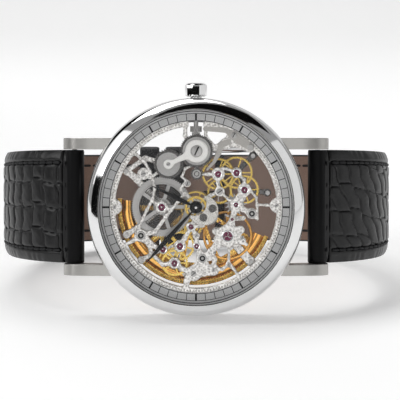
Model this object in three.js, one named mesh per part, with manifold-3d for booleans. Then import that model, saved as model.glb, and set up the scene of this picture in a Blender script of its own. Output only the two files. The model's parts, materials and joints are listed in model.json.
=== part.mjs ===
// A skeleton wristwatch: an openworked automatic movement in a round steel case on a buckled strap.
// Millimetres. Every piece is drawn in the dial frame: the hands turn about the origin, +Z points
// from the dial to the wearer's eye, +Y points to the crown (3 o'clock) and -X points to 12 o'clock.
// The finished watch is then stood on the rim of its case and the back of its strap, crown up.
import * as THREE from "three";
import { mergeVertices } from "three/addons/utils/BufferGeometryUtils.js";
import Module from "manifold-3d";

const wasm = await Module();
wasm.setup();

// ---------------------------------------------------------------- driving dimensions
const CASE_R = 17; // outer radius of the case
const BORE_R = 15.7; // bore of the case band
const CASE_TOP = 0.3; // plane where the bezel sits on the band
const CASE_BOTTOM = -3.7; // plane where the case back sits on the band
const LUG_GAP = 18; // strap width between the lugs
const LUG_W = 1.8;
const LUG_REACH = 20.9; // from the centre to a lug's tip
const BAR_X = 19.15; // spring bars, from the centre
const BAR_Z = -3.4;
const GAP = 0.03; // running and resting clearance inside the movement
const PLATE_R = 13.55;
const PLATE_Z = [-0.8, 0]; // mainplate, lower and upper face
const BRIDGE_Z = [-2.5, -2.05]; // bridges
const STEM_Z = -0.7; // height of the winding stem's axis
const TRAIN_TOP = PLATE_Z[0] - GAP; // arbors run between these two planes
const TRAIN_BOTTOM = BRIDGE_Z[1] + GAP;

// Levels of the wheels in the train, each [bottom, top]
const LEVEL = {
  a: [-1.02, -0.88],
  b: [-1.3, -1.14],
  c: [-1.58, -1.42],
  m: [-1.74, -1.6],
  d: [-1.97, -1.79],
};

// Arbors in the dial frame
const AT = {
  centre: [0, 0],
  barrel: [-5.35, 0],
  idler: [3.7, 2.4],
  third: [3.45, 5.15],
  fourth: [6.34, 5.36],
  fifth: [7.56, 2.7],
  escape: [6.25, 0.38],
  pallet: [5.65, -1.92],
  balance: [4.95, -4.5],
  minute: [1.85, -1.15],
  reverser: [-0.8, -3.05],
  reducer: [-2.5, -6.1],
  transfer: [-3.35, -8.75],
  winder: [-5.15, -6.6],
  crownWheel: [0.1, 8.74],
  winding: [-4.3, 6.7],
  setting: [0.1, 5.2],
  lever: [5.9, 11.2],
  yoke: [3.9, 9.7],
  click: [-9.2, 4.4],
};
const TEETH = {
  barrel: 84, centrePinion: 12, centre: 60, idler: 47, thirdPinion: 20, third: 64, fourthPinion: 10,
  fourth: 75, fifthPinion: 12, fifth: 60, escapePinion: 10, escape: 15,
  cannon: 12, minute: 36, minutePinion: 10, hour: 40,
  rotor: 27, reverser: 36, reverserPinion: 24, reducer: 46, reducerPinion: 16, transfer: 48,
  transferPinion: 10, winder: 46, winderPinion: 36, ratchet: 63,
  windingPinion: 14, crownWheel: 52, winding: 45, setting: 18,
};

// ---------------------------------------------------------------- geometry helpers
const TAU = Math.PI * 2;
const distance = (a, b) => Math.hypot(a[0] - b[0], a[1] - b[1]);
const polar = (r, degrees) => {
  const a = THREE.MathUtils.degToRad(degrees);
  return [r * Math.cos(a), r * Math.sin(a)];
};

function toSolid(geometry) {
  const bare = geometry.clone();
  for (const name of Object.keys(bare.attributes)) if (name !== "position") bare.deleteAttribute(name);
  const merged = mergeVertices(bare, 1e-4);
  return new wasm.Manifold(
    new wasm.Mesh({
      numProp: 3,
      vertProperties: merged.attributes.position.array,
      triVerts: new Uint32Array(merged.index.array),
    }),
  );
}

function toGeometry(solid) {
  const mesh = solid.getMesh();
  const geometry = new THREE.BufferGeometry();
  geometry.setAttribute("position", new THREE.BufferAttribute(new Float32Array(mesh.vertProperties), 3));
  geometry.setIndex(new THREE.BufferAttribute(new Uint32Array(mesh.triVerts), 1));
  return geometry;
}

const join = (...geometries) => toGeometry(geometries.map(toSolid).reduce((a, b) => a.add(b)));
const cut = (geometry, ...tools) => toGeometry(tools.map(toSolid).reduce((a, b) => a.subtract(b),
  toSolid(geometry)));
const turned = (geometry, degrees) => geometry.clone().rotateZ(THREE.MathUtils.degToRad(degrees));

// A flat outline between two heights; holes are outlines too.
function slab(outline, [z0, z1], holes = []) {
  const shape = new THREE.Shape(outline.map(([x, y]) => new THREE.Vector2(x, y)));
  for (const hole of holes) shape.holes.push(new THREE.Path(hole.map(([x, y]) => new THREE.Vector2(x, y))));
  return new THREE.ExtrudeGeometry(shape, { depth: z1 - z0, bevelEnabled: false }).translate(0, 0, z0);
}

const circle = ([x, y], r, n = 16, start = 0) =>
  Array.from({ length: n }, (_, i) => [x + r * Math.cos(start + (i / n) * TAU),
    y + r * Math.sin(start + (i / n) * TAU)]);
const disc = (at, r, heights, n = 16) => slab(circle(at, r, n), heights);
const washer = (at, inner, outer, heights, n = 24) => slab(circle(at, outer, n), heights,
  [circle(at, inner, n)]);

// A strip of the given width along a line of points, with round ends of a few sides.
function strip(points, width, heights, endSides = 4) {
  const widths = Array.isArray(width) ? width : points.map(() => width);
  const left = [], right = [];
  points.forEach((p, i) => {
    const a = points[Math.max(0, i - 1)], b = points[Math.min(points.length - 1, i + 1)];
    const length = distance(a, b), nx = -(b[1] - a[1]) / length, ny = (b[0] - a[0]) / length;
    left.push([p[0] + (nx * widths[i]) / 2, p[1] + (ny * widths[i]) / 2]);
    right.push([p[0] - (nx * widths[i]) / 2, p[1] - (ny * widths[i]) / 2]);
  });
  const cap = (centre, from, turn) => {
    const r = distance(centre, from), start = Math.atan2(from[1] - centre[1], from[0] - centre[0]);
    return Array.from({ length: endSides - 1 }, (_, i) => {
      const a = start + (turn * (i + 1) * Math.PI) / endSides;
      return [centre[0] + r * Math.cos(a), centre[1] + r * Math.sin(a)];
    });
  };
  const last = points.length - 1;
  const outline = [
    ...right, ...cap(points[last], right[last], 1),
    ...left.reverse(), ...cap(points[0], left[last], 1),
  ];
  return slab(outline, heights);
}

// A ring about the Z axis from a closed (radius, height) profile that runs anticlockwise.
function ring(profile, sides) {
  const points = [...profile, profile[0]].map(([r, z]) => new THREE.Vector2(r, z));
  return new THREE.LatheGeometry(points, sides).rotateX(Math.PI / 2);
}

// A wheel: pitch radius, number of teeth, spokes as windows between rim and hub. A plain wheel is
// drawn at its root circle, without the teeth.
function gear(at, pitch, teeth, heights, options = {}) {
  const { spokes = 0, rim = 0.3, hub = 0.5, spoke = 0.22, bore = 0, phase = 0, plain = false } = options;
  const module = (2 * pitch) / teeth, tip = pitch + 0.8 * module, root = pitch - 0.95 * module;
  const outline = plain ? circle(at, root, Math.min(teeth, 28)) : [];
  for (let i = 0; i < (plain ? 0 : teeth); i++)
    for (const [r, share] of [[root, -0.5], [tip, 0]]) {
      const a = phase + ((i + share) / teeth) * TAU;
      outline.push([at[0] + r * Math.cos(a), at[1] + r * Math.sin(a)]);
    }
  const holes = bore ? [circle(at, bore, 12)] : [];
  for (let i = 0; i < spokes; i++) {
    const outer = root - rim, step = TAU / spokes, middle = phase + (i + 0.5) * step;
    const from = step / 2 - spoke / 2 / outer, near = step / 2 - spoke / 2 / hub;
    const window = [-1, 0, 1].map((k) => [outer, middle + k * from]);
    window.push([hub, middle + near], [hub, middle - near]);
    holes.push(window.map(([r, a]) => [at[0] + r * Math.cos(a), at[1] + r * Math.sin(a)]));
  }
  return slab(outline, heights, holes);
}

// Pitch radii of two wheels that mesh across the gap between their arbors.
function meshing(a, b, teethA, teethB) {
  const span = distance(a, b);
  return [(span * teethA) / (teethA + teethB), (span * teethB) / (teethA + teethB)];
}

// The phase that puts a tooth space of the second wheel on the line of centres where the first has a tooth.
function phaseFor(a, b, teethA, teethB, phaseA = 0) {
  const toB = Math.atan2(b[1] - a[1], b[0] - a[0]);
  const offset = (((toB - phaseA) * teethA) / TAU) % 1; // how far past a tooth of A the line is, in teeth
  return toB + Math.PI + ((offset + 0.5) / teethB) * TAU;
}

// Closed skin through rings of points, each ring the same length, capped at both ends.
function loft(sections) {
  const n = sections[0].length, positions = sections.flat(2), index = [];
  for (let i = 0; i < sections.length - 1; i++)
    for (let j = 0; j < n; j++) {
      const a = i * n + j, b = i * n + ((j + 1) % n);
      index.push(a, b, b + n, a, b + n, a + n);
    }
  const last = (sections.length - 1) * n;
  for (let j = 1; j < n - 1; j++) index.push(0, j + 1, j, last, last + j, last + j + 1);
  const geometry = new THREE.BufferGeometry();
  geometry.setAttribute("position", new THREE.Float32BufferAttribute(positions, 3));
  geometry.setIndex(index);
  return geometry;
}

// ---------------------------------------------------------------- materials
const metal = (color, roughness) => new THREE.MeshStandardMaterial({ color, roughness, metalness: 1 });
const MATERIAL = {
  steel: metal(0xd8d8d6, 0.15),
  plate: metal(0xe2dfda, 0.35),
  work: metal(0xb9b6b0, 0.25),
  brass: metal(0xd9b24a, 0.3),
  copper: metal(0xc9783a, 0.3),
  gold: metal(0xd99a3c, 0.3),
  blackHand: new THREE.MeshStandardMaterial({ color: 0x111111, roughness: 0.3, metalness: 0.2 }),
  dial: new THREE.MeshStandardMaterial({ color: 0xb4b2af, roughness: 0.5, metalness: 0.4 }),
  glass: new THREE.MeshStandardMaterial({ color: 0xf4f8fa, roughness: 0.02, transparent: true,
    opacity: 0.15 }),
  strap: new THREE.MeshStandardMaterial({ color: 0x1a1a1b, roughness: 0.5 }),
};

const watch = new THREE.Group();
function add(name, geometry, material) {
  const mesh = new THREE.Mesh(geometry, MATERIAL[material]);
  mesh.name = name;
  watch.add(mesh);
}

// ---------------------------------------------------------------- case
const HOUSING_SIDES = 40;

function caseBand() {
  const band = ring(
    [[BORE_R, CASE_BOTTOM], [CASE_R - 0.6, CASE_BOTTOM], [CASE_R, CASE_BOTTOM + 0.5],
      [CASE_R, CASE_TOP - 0.2],
      [CASE_R - 0.2, CASE_TOP], [BORE_R, CASE_TOP]],
    HOUSING_SIDES,
  );
  const lugProfile = [[13, -0.35], [18.6, -0.75], [20.5, -1.6], [LUG_REACH, -2.4], [LUG_REACH, -4.3],
    [20.4, -4.9], [17.5, -4.75], [13, -3.4]];
  const lugs = [];
  for (const side of [-1, 1])
    for (const end of [-1, 1]) {
      const outline = lugProfile.map(([x, z]) => [end * x, z]);
      const lug = slab(end > 0 ? outline : outline.reverse(), [0, LUG_W]).rotateX(Math.PI / 2);
      lugs.push(lug.translate(0, side > 0 ? LUG_GAP / 2 + LUG_W : -LUG_GAP / 2, 0));
    }
  const bore = disc([0, 0], BORE_R, [-6, 2], HOUSING_SIDES);
  const stemHole = new THREE.CylinderGeometry(1.0, 1.0, 6, 16).translate(0, CASE_R, STEM_Z);
  const barHoles = [-1, 1].map((end) =>
    new THREE.CylinderGeometry(0.42, 0.42, LUG_GAP + 2.4, 10).translate(end * BAR_X, 0, BAR_Z));
  return cut(join(band, ...lugs), bore, stemHole, ...barHoles);
}

add("case_band", caseBand(), "steel");
add("bezel", ring(
  [[15.2, CASE_TOP + GAP], [CASE_R - 0.1, CASE_TOP + GAP], [16.95, 1.1], [16.6, 1.85], [15.9, 2.4],
    [15.2, 2.45]], HOUSING_SIDES), "steel");
add("crystal", ring([[0, 1.72], [15.17, 1.72], [15.17, 2.38], [14.7, 2.7], [0, 2.7]], HOUSING_SIDES),
  "glass");
add("chapter_ring", ring(
  [[13.42, 0.12], [15.15, 0.12], [15.15, 1.66], [14.62, 0.5], [13.42, 0.5]], HOUSING_SIDES), "dial");

function movementRing() {
  const body = ring([[13.6, -2.6], [15.6, -2.6], [15.6, 0.08], [13.6, 0.08]], HOUSING_SIDES);
  const stemSlot = new THREE.CylinderGeometry(0.75, 0.75, 4, 12).translate(0, 14.6, STEM_Z);
  return cut(body, stemSlot);
}
add("movement_ring", movementRing(), "work");

const BACK_Z = -5.1;
add("case_back", ring(
  [[13.3, BACK_Z], [16.1, BACK_Z], [16.35, CASE_BOTTOM - GAP], [15.6, CASE_BOTTOM - GAP], [15.0, -2.75],
    [14.9, -4.0], [13.3, -4.0]], HOUSING_SIDES), "steel");
add("back_crystal", ring([[0, -4.95], [13.22, -4.95], [13.22, -4.1], [0, -4.1]], 40), "glass");
add("crown_tube", new THREE.ExtrudeGeometry(
  (() => {
    const shape = new THREE.Shape(circle([0, 0], 0.95, 16).map(([x, y]) => new THREE.Vector2(x, y)));
    shape.holes.push(new THREE.Path(circle([0, 0], 0.6, 12).map(([x, y]) => new THREE.Vector2(x, y))));
    return shape;
  })(), { depth: 1.45, bevelEnabled: false }).rotateX(-Math.PI / 2).translate(0, 15.85, STEM_Z), "steel");

// ---------------------------------------------------------------- strap loop
// Half of the loop's centre line as (x, z), from a spring bar to the middle of the back.
const LOOP_HALF = [[BAR_X, BAR_Z], [24.2, -6.6], [28.6, -12], [31, -20], [30.6, -30], [27, -39.5],
  [20.8, -46.9],
  [14.5, -50.2], [8, -50.8], [0, -50.8]];
const loop = new THREE.CatmullRomCurve3(
  [...LOOP_HALF.map(([x, z]) => [-x, z]), ...LOOP_HALF.slice(0,
    -1).reverse()].map(([x, z]) => new THREE.Vector3(x, 0, z)),
  false, "centripetal");
loop.arcLengthDivisions = 600;
const LOOP_LENGTH = loop.getLength();
const STRAP_T = { lug: 3, buckle: 2.1 }; // thickness at the lugs and from the buckle on
const STRAP_W = { lug: 17.8, buckle: 16 };
const STRAP_TAPER = 40; // how far from the lugs the strap goes on narrowing
const LAYER = STRAP_T.buckle + 0.35; // how far the tail lies outside the short strap
const BUCKLE_S = LOOP_LENGTH / 2 + 4; // the buckle's bar, measured along the loop from 12 o'clock
const TAIL_S = BUCKLE_S - 40; // the tail's tip
const smooth = (t) => { const k = Math.min(1, Math.max(0, t)); return k * k * (3 - 2 * k); };

// Point on the loop with its outward normal, at a length from the 12 o'clock spring bar.
function loopFrame(s) {
  const u = Math.min(1, Math.max(0, s / LOOP_LENGTH));
  const p = loop.getPointAt(u), t = loop.getTangentAt(u);
  return { x: p.x, z: p.z, nx: t.z, nz: -t.x, tx: t.x, tz: t.z };
}

// One strap half as stations along the loop; raise(s) lifts it off the loop's line.
function strapHalf(from, to, stations, { lugEnd, raise = () => 0, tip = 0 }) {
  const sections = [];
  for (let i = 0; i <= stations; i++) {
    const s = from + ((to - from) * i) / stations, f = loopFrame(s);
    const run = Math.abs(s - lugEnd), t = THREE.MathUtils.lerp(STRAP_T.lug, STRAP_T.buckle, smooth(run / 60));
    let half = THREE.MathUtils.lerp(STRAP_W.lug, STRAP_W.buckle, smooth(run / STRAP_TAPER)) / 2;
    if (tip) half *= Math.sqrt(Math.min(1, 0.12 + Math.abs(s - to) / tip));
    const edge = 0.28 * t, up = raise(s);
    const at = (y, h) => [f.x + f.nx * (h + up), y, f.z + f.nz * (h + up)];
    const ringPoints = [at(-half, -t / 2 + edge), at(-half + edge, -t / 2), at(half - edge, -t / 2),
      at(half, -t / 2 + edge), at(half, t / 2 - edge), at(half - 2 * edge, t / 2),
        at(-half + 2 * edge, t / 2),
      at(-half, t / 2 - edge)];
    sections.push(ringPoints);
  }
  return loft(sections);
}

// The strap's rounded end about its spring bar.
const strapEye = (end) => new THREE.CylinderGeometry(1.5, 1.5, STRAP_W.lug, 18).translate(end * BAR_X, 0,
  BAR_Z);
const barBore = (end) => new THREE.CylinderGeometry(0.8, 0.8, 20, 14).translate(end * BAR_X, 0, BAR_Z);
const outward = (solid) => (toSolid(solid).volume() < 0 ? flipped(solid) : solid);
function flipped(geometry) {
  const index = geometry.index.array;
  for (let i = 0; i < index.length; i += 3) [index[i], index[i + 1]] = [index[i + 1], index[i]];
  return geometry;
}

const rampUp = (s) => LAYER * smooth((BUCKLE_S + 10 - s) / 10); // the tail climbs over the short strap's end
const shortStrap = outward(strapHalf(0.2, BUCKLE_S, 24, { lugEnd: 0 }));
const longStrap = outward(strapHalf(LOOP_LENGTH - 0.2, TAIL_S, 34,
  { lugEnd: LOOP_LENGTH, raise: rampUp, tip: 9 }));

// A block or pin set square to the loop at length s, lifted h, shifted y across the strap.
function onLoop(geometry, s, h = 0, y = 0) {
  const f = loopFrame(s);
  const basis = new THREE.Matrix4().makeBasis(
    new THREE.Vector3(f.tx, 0, f.tz), new THREE.Vector3(0, 1, 0), new THREE.Vector3(-f.nx, 0, -f.nz));
  return geometry.clone().applyMatrix4(basis).translate(f.x + f.nx * h, y, f.z + f.nz * h);
}
const HOLE_PITCH = 6.5;
const TONGUE_HOLE_S = BUCKLE_S + 1.9; // the hole that the tongue is in
const holePunch = new THREE.CylinderGeometry(0.8, 0.8, 8, 8).rotateX(Math.PI / 2);
const slotPunch = new THREE.BoxGeometry(5, 1.7, 9);
const tailHoles = [1, 2, 3, 4].map((k) => onLoop(holePunch, TONGUE_HOLE_S - k * HOLE_PITCH, LAYER));
add("strap_long", cut(join(longStrap, strapEye(1)), barBore(1), onLoop(slotPunch, TONGUE_HOLE_S - 0.3, LAYER),
  ...tailHoles), "strap");
const BAR_R = 0.6;
// the short strap's end folds round the buckle's bar, with a slot in the middle for the tongue
const barFold = new THREE.CylinderGeometry(1.2, 1.2, STRAP_W.buckle, 14);
add("strap_short", cut(join(shortStrap, strapEye(-1), onLoop(barFold, BUCKLE_S)), barBore(-1),
  onLoop(new THREE.CylinderGeometry(BAR_R + 0.05, BAR_R + 0.05, 20, 12), BUCKLE_S),
  onLoop(new THREE.BoxGeometry(5.4, 1.8, 9), BUCKLE_S, 0)), "strap");

// Keepers: flat rings round both layers of the strap.
const KEEPER = { halfWidth: 9.45, wall: 1.1, length: 3.6 };
const KEEPER_CENTRE = LAYER / 2;
function keeper(s) {
  const halfH = (STRAP_T.buckle + LAYER) / 2 + 0.25, w = KEEPER.halfWidth, wall = KEEPER.wall;
  const outer = new THREE.BoxGeometry(KEEPER.length, 2 * w, 2 * (halfH + wall));
  const inner = new THREE.BoxGeometry(KEEPER.length + 1, 2 * (w - wall), 2 * halfH);
  return onLoop(cut(outer, inner), s, KEEPER_CENTRE);
}
const FIXED_KEEPER_S = BUCKLE_S - 8;
const FREE_KEEPER_S = BUCKLE_S - 12.8;
add("keeper_fixed", keeper(FIXED_KEEPER_S), "strap");
add("keeper_free", keeper(FREE_KEEPER_S), "strap");

// Buckle: a frame and a tongue that turn on a bar in the short strap's end.
const FRAME = { reach: 7.2, lift: 3.55, halfOuter: 9.5, halfInner: 8.35, bar: 1.4 };
const frameAngle = Math.atan2(FRAME.lift, FRAME.reach);
function buckleFrame() {
  const length = Math.hypot(FRAME.reach, FRAME.lift);
  const arm = (side) => new THREE.BoxGeometry(length + 1.6, FRAME.halfOuter - FRAME.halfInner, 1.5)
    .translate(length / 2, side * (FRAME.halfOuter + FRAME.halfInner) / 2, 0);
  const front = new THREE.BoxGeometry(FRAME.bar, 2 * FRAME.halfOuter, 1.3).translate(length + 0.1, 0, 0);
  const frame = cut(join(arm(-1), arm(1), front), new THREE.CylinderGeometry(0.45, 0.45, 18.4, 10));
  return onLoop(frame.rotateY(frameAngle), BUCKLE_S);
}
add("buckle_frame", buckleFrame(), "steel");
add("buckle_bar", onLoop(join(
  new THREE.CylinderGeometry(BAR_R, BAR_R, 2 * FRAME.halfInner - 0.1, 12),
  new THREE.CylinderGeometry(0.38, 0.38, 2 * FRAME.halfInner + 1.3, 10)), BUCKLE_S), "steel");
function buckleTongue() {
  // bottom of the tongue: round the bar, up through the strap's hole and over the frame's front
  const path = [[0, 0.2], [1.2, 1.9], [3.1, 3.9], [6.4, 5.15], [8.7, 4.8]];
  const tongue = strip(path, [1.0, 0.9, 0.8, 0.75, 0.6], [-0.55, 0.55], 4);
  const eye = disc([0, 0], BAR_R + 0.5, [-0.75, 0.75], 14);
  const bored = cut(join(tongue, eye), disc([0, 0], BAR_R + GAP, [-2, 2], 12));
  return onLoop(bored.rotateX(-Math.PI / 2), BUCKLE_S);
}
add("buckle_tongue", buckleTongue(), "steel");

for (const [name, end, reach] of [["spring_bar_12", -1, 1.1], ["spring_bar_6", 1, -0.05]]) {
  const body = new THREE.CylinderGeometry(0.74, 0.74, LUG_GAP - 0.6, 12);
  const pivots = new THREE.CylinderGeometry(0.38, 0.38, LUG_GAP + 2 * reach, 10);
  add(name, join(body, pivots).translate(end * BAR_X, 0, BAR_Z), "steel");
}

// ---------------------------------------------------------------- mainplate and bridges
const SCREWS = [[-8.5, -4.5], [1, -8], [8.75, -1.05], [-8.2, 5.2]]; // screws that hold the bridges
const DIAL_FEET = [[-12.35, 0], [12.35, 0.25]];

function mainplate() {
  const z = PLATE_Z;
  const web = (points, width) => strip(points, width, z, 2);
  const bosses = {
    barrel: 1.25, third: 1.05, fourth: 0.8, fifth: 1, escape: 1, pallet: 0.42, balance: 1.75, reverser: 0.75,
    reducer: 0.98, transfer: 0.92, winder: 0.8, crownWheel: 1.5, winding: 0.75, setting: 0.9, idler: 0.95,
      centre: 1.3,
  };
  const pieces = [
    ring([[12.5, z[0]], [PLATE_R, z[0]], [PLATE_R, z[1]], [12.5, z[1]]], HOUSING_SIDES),
    ...DIAL_FEET.map((p) => disc(p, 1.15, z, 10)),
    ...Object.entries(bosses).map(([name, r]) => disc(AT[name], r, z, 8)),
    ...SCREWS.map((p) => disc(p, 0.95, z, 8)),
    disc([0, -10.55], 1.3, z, 8),
    disc([2.75, -9.85], 1, z, 8),
    // webs on the 12 o'clock side, about the barrel
    web([[-10.2, 8.3], [-8.6, 7.2], [-7.4, 5.5], [-6.75, 3.6], [-6.6, 1.9], [-7.6, -0.6], [-9.2, -3.6]], 0.5),
    web([[-1.5, 2.5], [-3.3, -0.5], [-5.2, -3], [-7.6, -5.4]], 0.62),
    web([AT.barrel, [-6.75, 1.5]], 0.5),
    web([[-8.2, 5.2], [-7.2, 4.4]], 0.6),
    web([[-8.5, -4.5], [-11, -6]], 0.6),
    web([[-8.5, -4.5], [-6.6, -6.2], AT.winder], 0.8),
    // webs along the automatic train and out to the rim
    web([AT.winder, [-4.3, -8], AT.transfer], 0.7),
    web([AT.transfer, [-1.6, -9.9], [0, -10.5]], 0.9),
    web([AT.reducer, [-1.2, -4.4], AT.reverser, [-0.4, -1]], 0.6),
    web([AT.reverser, [0.1, -4.45], [0.2, -6.15], [1, -8]], 0.75),
    web([[0, -1.2], [0.3, -2.4], [0.1, -4.45]], 0.6),
    web([[1, -8], [1.4, -9.4], [0, -10.5]], 1.3),
    web([[0, -10.5], [2.75, -9.85]], 1.5),
    web([[-0.9, -10.4], [-1.7, -12.8]], 0.95),
    // webs round the balance and the going train
    web([[2.75, -9.85], [3.2, -7.8], [4.3, -6], [4.95, -4.5]], 0.75),
    web([[4.95, -4.5], [5.3, -7], [5.8, -9], [6.9, -10.9]], 0.5),
    web([[4.95, -4.5], [3.1, -3.6]], 1.7),
    web([[4.95, -4.5], [6.6, -3.2]], 1.6),
    web([[4.95, -4.5], AT.pallet, AT.escape], 0.95),
    web([AT.escape, AT.fifth], 1),
    web([AT.fifth, [7.4, 4.2], AT.fourth], 0.6),
    web([AT.fourth, [4.9, 5.7], AT.third], 0.5),
    web([AT.third, [3.4, 3.7], AT.idler], 0.6),
    web([AT.idler, [2.1, 1.7], [0.9, 0.9]], 0.7),
    web([AT.escape, [7.6, -0.4], [8.75, -1.05]], 0.8),
    web([[8.75, -1.05], [9.3, 0.2], [9.2, 1.8], AT.fifth], 0.5),
    web([[9.3, 0.1], [12.6, 0.2]], 0.55),
    // webs and shelf under the winding and setting works
    web([AT.winding, [-2.1, 7.8], AT.crownWheel], 0.8),
    web([AT.winding, [-6.9, 4.6]], 0.55),
    web([AT.crownWheel, AT.setting], 0.8),
    web([AT.setting, [1.8, 5.3], AT.third], 0.6),
    web([[1, 8.9], [3.6, 9.2]], 0.7),
    slab([[1.35, 12.9], [1.35, 10.6], [2.6, 9.2], [3.3, 8.6], [4.6, 9.6], [5, 10.5], [8.3, 8.5], [9.6, 9.2],
      [8, 10.8], [5, 12.2]], z),
  ];
  const stemBed = new THREE.BoxGeometry(2.3, 4.2, 4).translate(0, 11.9, 0);
  const stemEnd = new THREE.CylinderGeometry(0.45, 0.45, 3, 10).translate(0, 10, STEM_Z);
  return cut(join(...pieces), stemBed, stemEnd,
    disc([0, 0], 0.34, [-2, 1], 10), ...["minute", "setting",
      "crownWheel"].map((n) => disc(AT[n], 0.16, [-2, 1], 6)),
    disc(AT.winding, 0.4, [-2, 1], 8));
}
add("mainplate", mainplate(), "plate");

function bridge(pieces, holes) {
  return cut(join(...pieces), ...holes.map(([at, r]) => disc(at, r, [-4, 0], 10)));
}
// A post that stands a bridge on the mainplate.
const post = (at, r = 0.55) => disc(at, r, [BRIDGE_Z[1] - 0.05, PLATE_Z[0] - 0.01], 8);
add("barrel_bridge", bridge([
  disc(AT.barrel, 1.4, BRIDGE_Z, 12), disc(AT.winding, 0.9, BRIDGE_Z, 10),
    disc([-10.9, 5.6], 1, BRIDGE_Z, 10), disc([-10.9, -4.4], 1, BRIDGE_Z, 10),
  strip([[-10.9, 5.6], [-8.2, 3.2], [-5.35, 0], [-8.2, -2.6], [-10.9, -4.4]], 0.9, BRIDGE_Z, 2),
  strip([[-10.9, 5.6], [-8, 7.6], [-4.3, 6.7]], 0.8, BRIDGE_Z, 2),
    strip([[-4.3, 6.7], [-1.6, 8.4]], 0.9, BRIDGE_Z, 2),
  post([-10.9, 5.6]), post([-10.9, -4.4]), disc([-9.2, 4.4], 0.6, BRIDGE_Z, 10),
    strip([[-10.9, 5.6], [-9.2, 4.4]], 0.8, BRIDGE_Z, 2),
  disc([-1.6, 8.4], 0.7, BRIDGE_Z, 10), post([-1.6, 8.4], 0.4),
], [[AT.barrel, 0.55], [AT.winding, 0.4]]), "plate");
add("train_bridge", bridge([
  ...["centre", "idler", "third", "fourth", "fifth",
    "escape"].map((n) => disc(AT[n], n === "centre" ? 1.2 : 0.7, BRIDGE_Z, 10)),
  strip([AT.centre, AT.idler, AT.third], 0.7, BRIDGE_Z, 2),
    strip([AT.third, AT.fourth, AT.fifth, AT.escape], 0.7, BRIDGE_Z, 2),
  strip([AT.idler, AT.escape], 0.6, BRIDGE_Z, 2), strip([AT.fourth, [8.9, 8]], 0.8, BRIDGE_Z, 2),
    strip([AT.fifth, [11.2, 2.2]], 0.8, BRIDGE_Z, 2),
  disc([8.9, 8], 0.9, BRIDGE_Z, 10), disc([11.2, 2.2], 0.9, BRIDGE_Z, 10), post([8.9, 8]), post([11.2, 2.2]),
], []), "plate");
add("automatic_bridge", bridge([
  ...["reverser", "reducer", "transfer", "winder"].map((n) => disc(AT[n], n === "reverser" ? 1 : 0.8,
    BRIDGE_Z, 10)),
  strip([AT.reverser, AT.reducer, AT.transfer], 0.7, BRIDGE_Z, 2),
    strip([AT.reducer, AT.winder], 0.7, BRIDGE_Z, 2),
  strip([AT.transfer, [-1.2, -11.3]], 0.9, BRIDGE_Z, 2), strip([AT.winder, [-8.6, -8.4]], 0.8, BRIDGE_Z, 2),
  disc([-1.2, -11.3], 0.9, BRIDGE_Z, 10), disc([-8.6, -8.4], 0.9, BRIDGE_Z, 10), post([-1.2, -11.3]),
    post([-8.6, -8.4]),
], [[AT.reverser, 0.25], [AT.winder, 0.25]]), "plate");
add("balance_cock", bridge([
  disc(AT.balance, 1.15, BRIDGE_Z, 14), strip([AT.balance, [7.6, -7.6], [8.6, -8.6]], 1.3, BRIDGE_Z, 2),
  disc([8.6, -8.6], 1.1, BRIDGE_Z, 10), post([8.6, -8.6], 0.75),
], []), "plate");

// ---------------------------------------------------------------- going train
const arbor = (at, r, z0 = TRAIN_BOTTOM, z1 = TRAIN_TOP) => disc(at, r, [z0, z1], 8);

const [barrelR, centrePinionR] = meshing(AT.barrel, AT.centre, TEETH.barrel, TEETH.centrePinion);
const DRUM_Z = [-1.52, -0.9];
const DRUM_R = 4.25;
add("barrel_drum", cut(
  join(gear(AT.barrel, barrelR, TEETH.barrel, [-1.12, -0.9], { spokes: 5, rim: 1.05, hub: 0.9, spoke: 0.5 }),
    washer(AT.barrel, DRUM_R - 0.25, DRUM_R, [DRUM_Z[0], -1.0], 32)),
  disc(AT.barrel, 0.5, [-3, 0], 12)), "work");
add("mainspring", (() => {
  // the outer turns of the flat spring wound against the drum's wall
  const points = [];
  for (let i = 0; i <= 36; i++) {
    const a = (i / 14) * TAU, r = DRUM_R - 0.45 - (0.3 * i) / 14;
    points.push([AT.barrel[0] + r * Math.cos(a), AT.barrel[1] + r * Math.sin(a)]);
  }
  return strip(points, 0.13, [-1.48, -1.17], 2);
})(), "work");
const centrePhase = phaseFor(AT.barrel, AT.centre, TEETH.barrel, TEETH.centrePinion);
const [centreR, idlerR] = meshing(AT.centre, AT.idler, TEETH.centre, TEETH.idler);
const thirdPinionR = distance(AT.idler, AT.third) - idlerR;
add("centre_wheel", join(
  gear(AT.centre, centrePinionR, TEETH.centrePinion, [-1.55, -0.88], { phase: centrePhase }),
  gear(AT.centre, centreR, TEETH.centre, LEVEL.d, { plain: true, spokes: 5, rim: 0.22, hub: 0.75,
    spoke: 0.25 }),
  disc(AT.centre, 0.5, [-1.9, -1.5], 10), disc(AT.centre, 0.26, [TRAIN_BOTTOM, 0.95], 10)), "brass");
add("intermediate_wheel", join(
  gear(AT.idler, idlerR, TEETH.idler, LEVEL.d, { plain: true, spokes: 4, rim: 0.22, hub: 0.5 }),
    arbor(AT.idler, 0.2)), "brass");

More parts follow.
